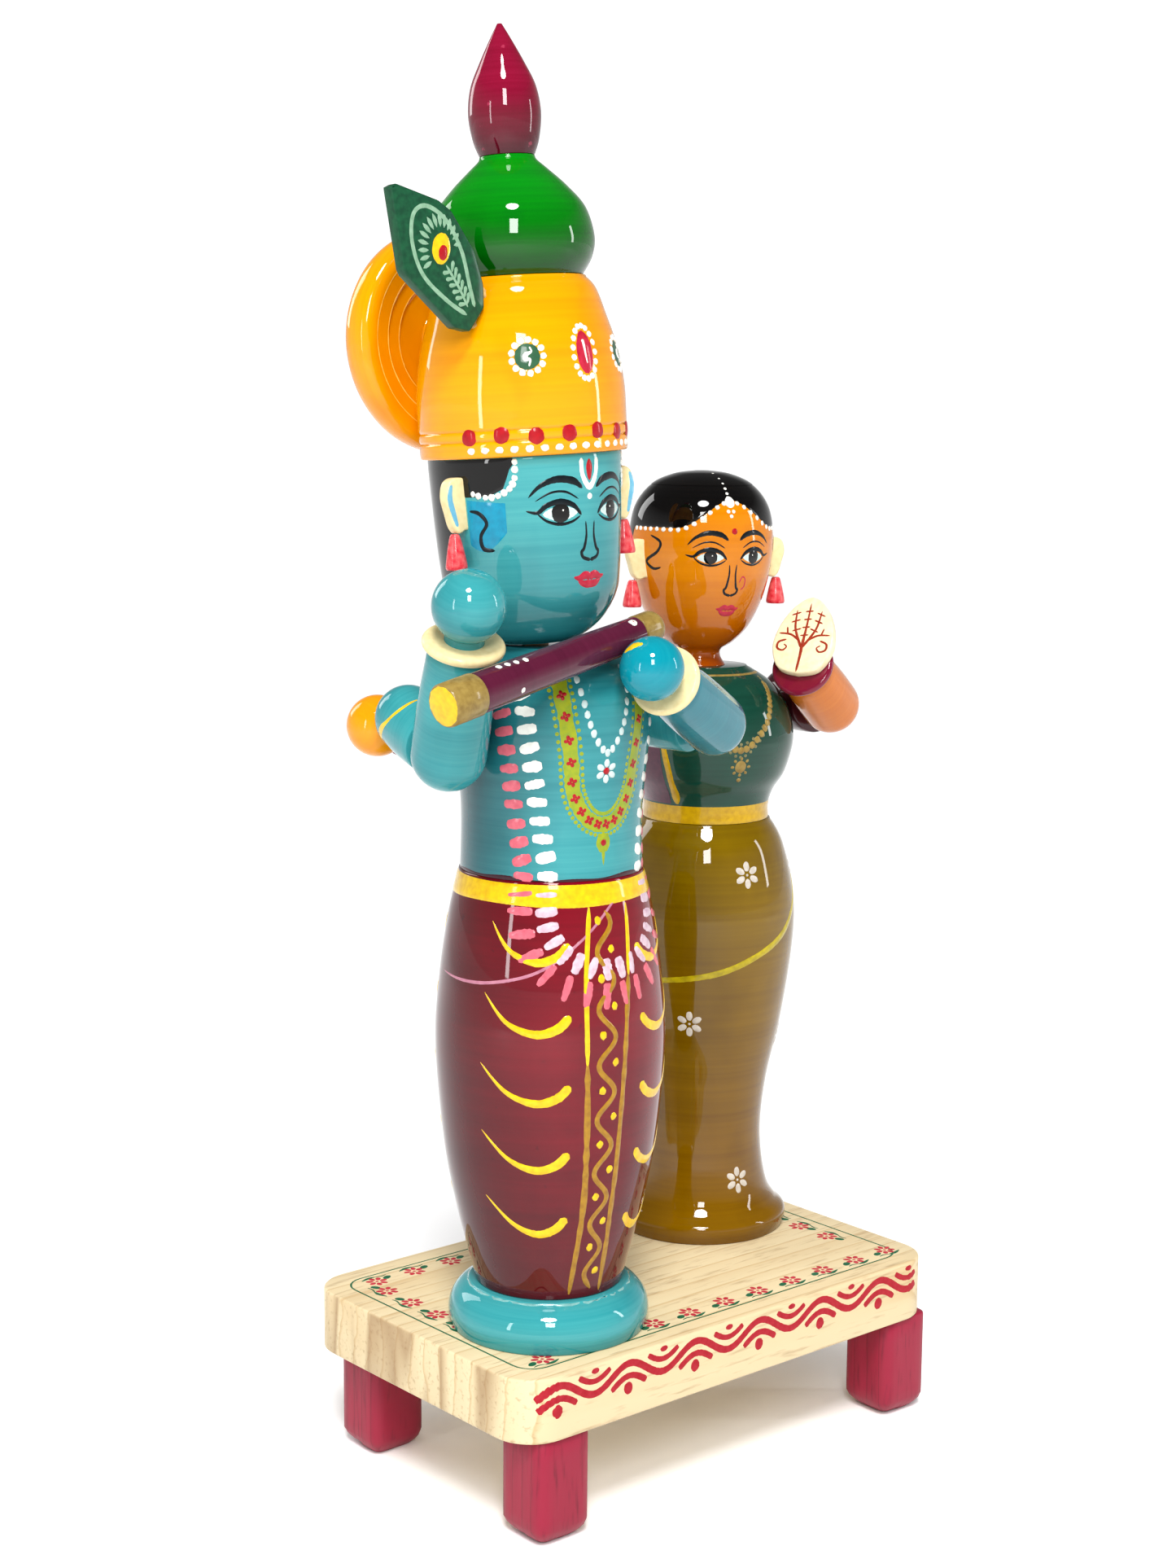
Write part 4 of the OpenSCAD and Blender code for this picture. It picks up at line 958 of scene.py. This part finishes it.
sleeve = Turned(aim(*p_right[:2]), "teal_lacquer", [[7.5, -1], [7.6, 4], [7.7, 8], [7.6, 14]])
Paint(sleeve, 0.15).stroke([(-78, 6.3), (-48, 5.7), (-32, 5.0), (-12, 3.7), (16, 1.1), (34, 0.3)],
                           [0.8, 1.8, 2.2, 2.3, 1.9, 0.8]).done("player-armlet-right", yellow)
forearm = Turned(aim(*p_left[1:]), "teal_lacquer", [[forearm_r * small, 0], [8.0 * small, 8],
                                                    [wrist_r * small, 26]])
brushed = Paint(forearm, 0.06)
for k in range(9):
    u, v = 150 + random.uniform(-14, 14), 1 + 2.3 * k
    brushed.stroke([(u, v), (u + 22, v + 0.3), (u + 50, v - 0.1)], [0.4, 1.3, 0.4], 5, 0.2)
brushed.done("player-forearm-left-strokes", deep_blue)
hand_m = aim(p_left[2], p_left[2] + (p_left[2] - p_left[1]).normalized())
Paint(Ball(hand_m, "teal_lacquer", hand_r * small), 0.12).stroke(
    [(-20, 42), (-34, 49), (-54, 56), (-84, 61)], [0.9, 1.8, 2.0, 0.8], 6, 0.25).done(
    "player-hand-left-smear", yellow)
glue = Paint(torso, 0.5)
for u, v, r in ((-64, 47.6, 1.3), (-52, 47.9, 1.0), (-38, 47.5, 1.5), (-22, 48.0, 1.1), (-8, 47.7, 1.3)):
    glue.blob(u, v, r, 0.8, random.uniform(-20, 20), uneven=0.15, sides=16)
glue.done("player-neck-glue", glue_clear)
Paint(ring, 0.4, 0.3).stroke([(4 * k, 10.55 + random.uniform(-0.12, 0.12)) for k in range(90)], 0.7, wobble=0.5,
                             curve=False, closed=True).done("player-foot-glue", glue_clear)


# ---------------- heads: hair, ear patch and faces

def ease(x, low, high, a, b):
    """a up to low, b from high on, with a soft step between."""
    t = min(max((x - low) / (high - low), 0.0), 1.0)
    t = t * t * (3 - 2 * t)
    return a + (b - a) * t


def from_front(u):
    """The angle from the front, without its side."""
    return abs((u + 180) % 360 - 180)


def hair_low(u):
    """The lower edge of the hair: a scallop over the temple, then down behind the ear."""
    a = from_front(u)
    behind = ease(a, 84, 100, 0, 19.5)
    return ease(a, 46, 54, 39.5, 34.0) - ease(a, 54, 62, 0, 1.2) - behind - ease(a, 120, 175, 0, 3)


ALL_ROUND = spread(-180, 180, 120)
Paint(head).area(spread(46, 314, 120), hair_low, lambda u: head_h - 0.1, 16).done("player-hair", black)
hair_beads = Paint(head, 0.35)
temple = smooth([(45, 40.0), (45.6, 36.6), (49, 34.4), (56, 33.0), (64, 32.8), (72, 33.6)], 2)
patch, curls = Paint(head, 0.06), Paint(head, 0.16)
for side in (-1, 1):
    for k, (u, v) in enumerate(temple):
        hair_beads.blob(side * u, v, 0.7 + 0.1 * (k % 2), uneven=0.1, sides=14)
hair_beads.done("player-hair-beads", white)
for side in (-1, 1):
    patch.area(sorted(side * u for u in spread(52, 77, 16)),
               lambda u: 25.0 - 4.0 * math.sin(math.pi * min(max((abs(u) - 52) / 32, 0), 1)),
               lambda u: 31.6 + 1.0 * (abs(u) - 52) / 25, 10, 0.05)
    curls.stroke(mirrored(side, ((76, 30), (69, 29.4), (64.5, 27.2), (69, 24.6), (68, 22), (60.5, 21.4))),
                 [0.7, 1.3, 1.15, 1.15, 1.3, 0.6])
patch.done("player-ear-patch", cyan)


def face(surface, name, centre, eye_z, eye_gap, brow_z, nose_z, mouth_z, k):
    """A calm painted doll's face on simple, even proportions, k scaling its line work."""
    ink, whites, iris, glint = [Paint(surface, high) for high in (0.14, 0.05, 0.12, 0.2)]
    lips = Paint(surface, 0.14)
    a, b = surface.per_mm(centre, eye_z)

    def eye(side, *points):
        """Points round the middle of an eye, x away from the nose."""
        return [(centre + side * (eye_gap + x * k) * a, eye_z + y * k * b) for x, y in points]

    def below(side, z, *points):
        """Points round the middle of the face at height z."""
        return [(centre + side * x * k * a, z + y * k) for x, y in points]

    def line(part, points, *widths):
        part.stroke(points, [w * k for w in widths])
    rise = (brow_z - eye_z) / k
    for side in (-1, 1):
        whites.dabs(eye(side, (0, 0)), 3.7 * k, 1.5 * k, 0, 28, 0.0,
                    shape=lambda t: 1 - 0.12 * abs(math.sin(2 * t)))
        iris.dabs(eye(side, (0, 0.05)), 1.8 * k, 1.7 * k, 0, 24, 0.02)
        glint.dabs(eye(side, (-0.4, 0.5)), 0.3 * k, sides=10)
        line(ink, eye(side, (-3.9, -0.5), (-2.4, 1.2), (0, 1.95), (2.4, 1.4), (4.0, 0.3), (5.9, 0.7)),
             0.5, 0.95, 1.1, 0.95, 0.7, 0.3)
        line(ink, eye(side, (-3.7, -0.6), (-2, -1.5), (0.2, -1.8), (2.4, -1.2), (4.0, 0.1)),
             0.3, 0.5, 0.6, 0.5, 0.3)
        line(ink, eye(side, (-3.4, 2.2), (-1, 3.5), (1.6, 3.5), (4.3, 2.2)), 0.25, 0.45, 0.4, 0.2)
        line(ink, eye(side, (-4.2, rise - 0.8), (-2.4, rise + 0.5), (0.6, rise + 0.9), (3.4, rise - 0.1),
                      (5.4, rise - 1.9)), 0.6, 1.3, 1.25, 0.8, 0.3)
        line(ink, below(side, eye_z, (0.95, -1.6), (0.85, -4))
             + below(side, nose_z, (1.35, 1.3), (1.9, 0.6), (1.5, -0.3), (0.0, -0.8)),
             0.3, 0.5, 0.65, 0.65, 0.65, 0.75)
        line(lips, below(side, mouth_z, (-0.2, 0.3), (1.0, 0.75), (2.4, 0.35), (3.5, 0.55)),
             1.3, 1.5, 1.0, 0.35)
    line(lips, below(1, mouth_z, (-2.6, 0), (-1.2, -0.7), (1.2, -0.7), (2.6, 0)), 0.5, 1.3, 1.3, 0.5)
    for part, tag, material in ((ink, "lines", line_black), (whites, "eye-whites", white_soft),
                                (iris, "irises", black), (glint, "glints", white), (lips, "lips", lip_red)):
        part.done(f"{name}-face-{tag}", material)


face(head, "player", 1.0, eye_z=28.6, eye_gap=7.3, brow_z=34.7, nose_z=19.2, mouth_z=14.0, k=1.28)
curls.done("player-temple-curls", line_black)
mark = Paint(head, 0.14)
mark.stroke([(-4.6, 40.0), (-3.8, 36.4), (1.2, 33.8), (6.2, 36.4), (7.2, 40.0)], [1.2, 1.2, 1.4, 1.2, 1.2])
mark.blob(1.2, 31.8, 0.7)
mark.done("player-forehead-mark", white)
Paint(head, 0.14).stroke([(1.2, 39.8), (1.2, 38), (1.2, 35.2)], [0.6, 1.8, 0.9]).done(
    "player-forehead-red", red)

# ---------------- player: torso and skirt ornament

chest = -6.0  # where the chest ornament is centred, in degrees


def from_chest(points):
    return [(chest + u, v) for u, v in points]


def on_body(v):
    """Torso above the waist at v 0, skirt below."""
    return (torso, v) if v > 0 else (skirt, skirt_h + v)


# The garland: dabs across a path from shoulder to shoulder, cut where they would cross the waist
garland = both_sides([(-52, 41), (-50, 38.4), (-46, 27.5), (-41.5, 14.4), (-36.5, 3.4), (-36, -4), (-35, -9.5),
                      (-28, -14.6), (-16, -17.8), (0, -19)])
path = smooth(garland, 24)
rows = {(c, s): Paint(s, 0.2) for c in ("white", "pink") for s in (torso, skirt)}
waist_gap, walked, next_stop = 0.6, 0.0, 0.0
for (u0, v0), (u1, v1) in zip(path, path[1:]):
    surface, v = on_body(v0)
    a, b = surface.per_mm(u0, v)
    dx, dy = (u1 - u0) / a, (v1 - v0) / b
    step = math.hypot(dx, dy)
    walked += step
    if walked < next_stop:
        continue
    spacing, longer, thinner = (3.5, 1.18, 0.9) if v0 < 0 else (4.05, 1.0, 1.0)
    next_stop += spacing
    out_x, out_y = dy / step, -dx / step
    for colour, near, far, wide in (("white", -2.2, 2.2, 2.5), ("pink", 3.2, 7.6, 2.4)):
        tilt = random.uniform(-0.5, 0.5)
        ends = [(chest + u0 + (out_x * d + out_y * tilt * m) * a, v0 + (out_y * d - out_x * tilt * m) * b)
                for d, m in ((near, -1), ((near + far) / 2, 0), (far * longer, 1))]
        target, _ = on_body(ends[1][1])
        if target is torso:
            ends = [(u, max(v, waist_gap)) for u, v in ends]
        else:
            ends = [(u, min(v, -waist_gap) + skirt_h) for u, v in ends]
        wide *= random.uniform(0.85, 1.12) * thinner
        rows[colour, target].stroke(ends, [0.8 * wide, wide, 0.7 * wide], 5, 0.12, tip=0.62)
for (colour, surface), marks in rows.items():
    where = "torso" if surface is torso else "skirt"
    marks.done(f"{where}-garland-{colour}",
               pink if colour == "pink" else white if surface is torso else veil_white)

necklace = from_chest(smooth(both_sides([(-31, 45.5), (-27, 38), (-23, 28), (-20.6, 19.5), (-12, 14),
                                         (0, 12.2)]), 6))
Paint(torso, 0.1).stroke(necklace, 3.9, 2, 0.12).done("torso-necklace-band", lime)
band_dots, red_dots = Paint(torso, 0.1), Paint(torso, 0.26)
for k, (u, v) in enumerate(necklace):
    if k % 3 == 1:
        red_dots.petals(u, v, 4, 0.62, 0.62, 0.5, 20)
    (u0, v0), (u1, v1) = necklace[max(k - 1, 0)], necklace[min(k + 1, len(necklace) - 1)]
    a, b = torso.per_mm(u, v)
    dx, dy = (u1 - u0) / a, (v1 - v0) / b
    length = math.hypot(dx, dy)
    edges = [(u - far * dy / length * a, v + far * dx / length * b) for far in (-2.4, 2.4)]
    band_dots.dabs(edges, 0.5, sides=10)
band_dots.blob(chest, 8.2, 1.9, 2.4).stroke([(chest, 6.4), (chest, 3.2)], [1.2, 0.3])
red_dots.blob(chest, 8.2, 0.85)
band_dots.done("torso-necklace-edge", lime)
beads = Paint(torso, 0.3)
string = smooth(both_sides([(-19.5, 46), (-15, 39), (-9.5, 32.6), (0, 28.2)]), 3)
beads.dabs(from_chest(string), 0.72, 0.95, uneven=0.1, sides=14).petals(chest, 24.1, 6, 1.75, 1.0, 0.75, 30)
beads.done("torso-white-beads", white_soft)
red_dots.blob(chest, 24.1, 0.85)
red_dots.done("torso-red-dots", red)
Paint(torso, 0.1).area(ALL_ROUND, lambda u: 0.05, lambda u: 0.7 + 0.5 * math.sin(u / 9) * math.sin(u / 23 + 1),
                       3, 0.05).done("torso-foot-smear", smear)

Paint(skirt, 0.12).area(ALL_ROUND, lambda u: 91.2 + 0.25 * math.sin(u / 17), lambda u: skirt_h - 0.5, 8,
                        0.12).done("skirt-belt", yellow)
lines, pale_lines = Paint(skirt, 0.18), Paint(skirt, 0.18)
lines.stroke([(-18, 91), (-21.4, 76), (-21.6, 56)], 1.25)
pale_lines.stroke([(-21.6, 57), (-20.6, 38), (-20.6, 20), (-24.6, 1.4)], 1.45, wobble=0.2)
lines.stroke([(7.6, 91), (3.6, 75)], 1.2)
pale_lines.stroke([(3.7, 76), (-0.8, 57), (-2, 28.7), (-1, 15), (1, 1.2)], 1.4, wobble=0.2)
pale_lines.stroke([(-9.6 + 4.6 * math.cos(2 * math.pi * v / 12.5) - 1.5 * math.sin(v / 30), v)
                   for v in [90 - 1.35 * k for k in range(66)]], 1.3, 2)
lines.dabs([(-9.8 + (5.6 if k % 2 else -5.6) * 0.62, 88 - 6.25 * k) for k in range(14)], 0.85, 1.0, uneven=0.15,
           sides=12)
fold_front = chest - 3.5
for centre in (fold_front, fold_front + 180):
    for side in (-1, 1):
        for row in range(5):
            end = 83.2 - 15.6 * row - (1.6 if side > 0 else 0)
            crescent = [(64 + row, 4.4), (52.5, -1.5), (38, -3.8), (27, -2.6), (20.6, 0.2)]
            lines.stroke([(centre + side * u, end + v) for u, v in crescent], [0.35, 1.1, 1.9, 2.2, 2.1])
lines.done("skirt-yellow-lines", yellow)
pale_lines.done("skirt-wave-line", mustard)
Paint(skirt, 0.1).stroke([(-112, 74), (-90, 73.6), (-70, 74.4), (-46.6, 77.3), (-25.4, 83.3), (-3.8, 91),
                          (6, 94)], [0.3, 0.8, 0.85, 0.8, 0.7, 0.7, 0.5]).done("skirt-lilac-line", lilac)


# ---------------- companion: hair, face, dress

def cap_low(u):
    """The hairline rises to a soft peak at the front and drops behind the ears."""
    a = from_front(u)
    return ease(a, 0, 46, 41.6, 34.8) - ease(a, 92, 112, 0, 20) - ease(a, 112, 176, 0, 5)


cap_top = 48.35
Paint(chead).area(ALL_ROUND, cap_low, lambda u: cap_top, 26, 0.1).done("companion-hair", black)
crown_line = [chead.point(0, 45 + 3.38 * (1 - (1 - k / 24) ** 2), 0.16) for k in range(25)]
lathe("companion-hair-crown", [(8, 45.4)] + [(-y, z) for _, y, z in crown_line], black, chead_m)
line_beads = Paint(chead, 0.3)
line_beads.dabs([(6.4 * k, cap_low(6.4 * k) - 0.3) for k in range(-14, 15) if k], 0.62, uneven=0.1, sides=12)
line_beads.dabs([(-1.2, 43.2 + 1.15 * k) for k in range(5)], 0.5, sides=12)
line_beads.blob(-1.0, 41.3, 1.35, 1.7, sides=20).petals(-1.0, 38.6, 3, 0.8, 0.5, 0.5, -90)
line_beads.done("companion-hair-beads", white)
face(chead, "companion", 0.6, eye_z=27.8, eye_gap=6.0, brow_z=32.9, nose_z=19.2, mouth_z=14.6, k=1.06)
Paint(chead, 0.2).blob(1.0, 34.2, 0.8).done("companion-forehead-dot", red)
details = Paint(chead, 0.16)
for side in (-1, 1):
    details.stroke(mirrored(side, ((70, 33), (60, 31.4), (63, 29), (75, 26.6), (68, 24.8), (60, 25.2))),
                   [0.5, 0.8, 0.8, 0.9, 0.8, 0.4])
details.done("companion-temple-curls", line_black)
Paint(chead, 0.12).stroke([(8, 21.6), (10.6, 23), (13.6, 22.4), (13.6, 20.6), (10.4, 19.8)], 0.4).done(
    "companion-nose-ring", lip_red)

waist = Paint(bodice, 0.14).area(ALL_ROUND, lambda u: 0.1, lambda u: 4.6, 8, 0.1)
waist.stroke([(-58, 27), (-55, 19.4), (-52.9, 13.2), (-52, 5)], [1.0, 1.6, 1.9, 2.4])
waist.done("bodice-waistband", amber_band)
Paint(bodice).area(spread(-128, -58, 24), lambda u: 4.7, lambda u: 26 + 3 * math.sin((u + 128) / 30), 14,
                   0.06).done("bodice-purple-panel", purple)
chain, trim = Paint(bodice, 0.2), Paint(bodice, 0.16)
for u, v in smooth([(-42, 34.6), (-33, 31), (-21, 24.6), (-2, 19.4), (17, 24.6), (30, 31), (39, 34.6)], 5):
    chain.blob(u - 1.5, v, 0.95, uneven=0.08, sides=12)
    for far in (-1.7, 1.7):
        trim.blob(u - 1.5 + far * (u + 2) / 16, v + abs(far) * (0.9 if far > 0 else -1.0), 0.45, sides=8)
chain.blob(-2.5, 15.2, 1.5, 1.7).petals(-2.5, 15.2, 8, 2.2, 0.5, 0.4).blob(-2.5, 11.8, 0.6)
chain.stroke([(u, 37.0) for u in range(-60, 61, 12)], 0.9)
chain.done("bodice-necklace", gold)
trim.done("bodice-necklace-trim", dim_gold)

blossoms = Paint(sari, 0.16)
for u, v in ((3.5, 95), (-35.2, 57.2), (9.6, 14.8), (62, 50), (110, 88), (165, 60), (-120, 84), (-88, 30),
             (138, 20), (-160, 30), (70, 94)):
    blossoms.petals(u, v, 6, 2.15, 1.3, 0.85, 30).blob(u, v, 0.35)
blossoms.done("sari-blossoms", warm_white)
Paint(sari, 0.16).stroke([(-100, 69), (-75, 67.6), (-51, 68.3), (-17.8, 70.5), (9.6, 74.4), (31.6, 78.6),
                          (48, 84), (66, 92), (80, 98)], [0.6, 1.2, 1.5, 1.7, 1.8, 1.9, 1.9, 1.6, 0.9]).done(
    "sari-drape-line", olive_line)

# Henna on the palm: a branching stem with small ticks and curls
ink = Paint(palm, 0.1)
ink.stroke([(0, -9.2), (0.1, -5), (0, -2.2)], [0.7, 0.9, 1.0])
for side in (-1, 1):
    for points, widths in (
            ([(0, -2.8), (1.8, 0.4), (2.9, 3.2), (3.3, 7.6)], [0.9, 0.8, 0.7, 0.5]),
            ([(1.0, -0.8), (3.6, 0.8), (6.8, 1.0)], [0.7, 0.7, 0.5]),
            *[([(x - 1.1, y + 0.6), (x + 1.3, y - 0.3)], 0.55)
              for x, y in ((2.2, 2.0), (2.9, 4.4), (3.2, 6.4))],
            ([(4.4, 0.8), (4.9, 2.8)], 0.55),
            ([(4.4, -0.6), (6.3, -1.4), (6.4, -3.0), (4.9, -3.6), (4.0, -2.6), (4.9, -1.9)],
             [0.6, 0.7, 0.7, 0.6, 0.5, 0.4])):
        ink.stroke(mirrored(side, points), widths)
ink.stroke([(0, -2.2), (0.1, 3), (0, 9.6)], [1.0, 0.7, 0.5])
for y in (0.6, 2.8, 5.0, 7.2):
    ink.stroke([(-1.1, y), (1.1, y + 0.3)], 0.55)
ink.done("companion-palm-henna", henna)

# The hidden fixings stay as CAD solids
for node in ("leg_dowels", "player_core_dowels", "player_halo_peg", "player_arm_pegs", "companion_core_dowels",
             "companion_arm_pegs", "figure_screws"):
    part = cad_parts[node]
    part.data.materials.clear()
    part.data.materials.append(steel if node == "figure_screws" else dowel_wood)

# ---------------- floor

floor_size = 6  # metres from the middle to each side
floor_shader = Shader("floor", Roughness=0.75)
floor_shader.colour(floor_shader.ramp(floor_shader.noise(3), (0.3, rgb(0xF9F9F9)), (0.7, rgb(0xFDFDFD))))
floor_mesh = bpy.data.meshes.new("floor")
corners = [(x * floor_size, y * floor_size, 0) for x, y in ((-1, -1), (1, -1), (1, 1), (-1, 1))]
floor_mesh.from_pydata(corners, [], [(0, 1, 2, 3)])
floor_mesh.materials.append(floor_shader.material)
floor = link("floor", floor_mesh)

# ---------------- world: bright overhead, dimmer at the sides

# Reflections see a darker room with a glow at the horizon, so that the floor's edge draws no line across the
# lacquer; the camera sees plain white
world = bpy.data.worlds.new("studio")
bpy.context.scene.world = world
world.use_nodes = True
sky = Nodes(world.node_tree)
up = sky.node("SeparateXYZ", {0: sky.node("TexCoord").outputs["Generated"]}).outputs["Z"]
room = sky.remap(up, 0.05, 0.9, 0.12, 0.82)
glow = sky.remap(up, 0.0, 0.5, 0.9, 0.12)
ray = sky.node("LightPath").outputs
lit = sky.math("MULTIPLY_ADD", ray["Is Glossy Ray"], sky.math("SUBTRACT", glow, room), room)
seen = sky.math("MULTIPLY", ray["Is Camera Ray"], 1.3)
background = sky.tree.nodes["Background"].inputs
sky.tree.links.new(sky.math("MAXIMUM", lit, seen), background["Strength"])
background["Color"].default_value = (1, 1, 1, 1)
bpy.context.scene.view_settings.view_transform = "Standard"
bpy.context.scene.view_settings.exposure = -0.2

# ---------------- lights, in metres and watts

heart = Vector((0, 0, 0.17))


def towards(direction):
    return direction.to_track_quat("-Z", "Y").to_euler()


for name, place, size, power in (
        ("key", (-0.62, -0.78, 0.72), (0.2, 0.34), 6.5),
        ("fill", (0.75, -0.6, 0.42), (0.07, 0.45), 1.5),
        ("side", (-1.0, -0.1, 0.35), (0.07, 0.45), 1.5),
        ("rim", (-0.2, 0.95, 0.6), (0.3, 0.5), 2.4)):
    softbox = bpy.data.lights.new(name, "AREA")
    softbox.shape, softbox.energy = "RECTANGLE", power
    softbox.size, softbox.size_y = size
    lamp = link(name, softbox)
    lamp.location = place
    lamp.rotation_euler = towards(heart - Vector(place))
sun = bpy.data.lights.new("overhead", "SUN")
sun.energy, sun.angle = 2.85, math.radians(15)
link("overhead", sun).rotation_euler = towards(Vector((0.45, 0.55, -1.0)))

# ---------------- camera, solved from the photograph's view

azimuth, down, roll = math.radians(-40.7), math.radians(8.87), math.radians(0.49)
from_board = Vector((-383.9, -429.8, 218.0))
back = Vector((math.sin(azimuth) * math.cos(down), -math.cos(azimuth) * math.cos(down), math.sin(down)))
across = Vector((math.cos(azimuth), math.sin(azimuth), 0))
upward = back.cross(across)
right_axis = across * math.cos(roll) + upward * math.sin(roll)
up_axis = upward * math.cos(roll) - across * math.sin(roll)
camera_data = bpy.data.cameras.new("camera")
camera_data.lens, camera_data.sensor_width = 56.07, 36  # mm
camera = link("camera", camera_data)
pose = Matrix((right_axis, up_axis, back)).transposed().to_4x4()
pose.translation = (board_mid + from_board) * MM
camera.matrix_world = pose
bpy.context.scene.camera = camera
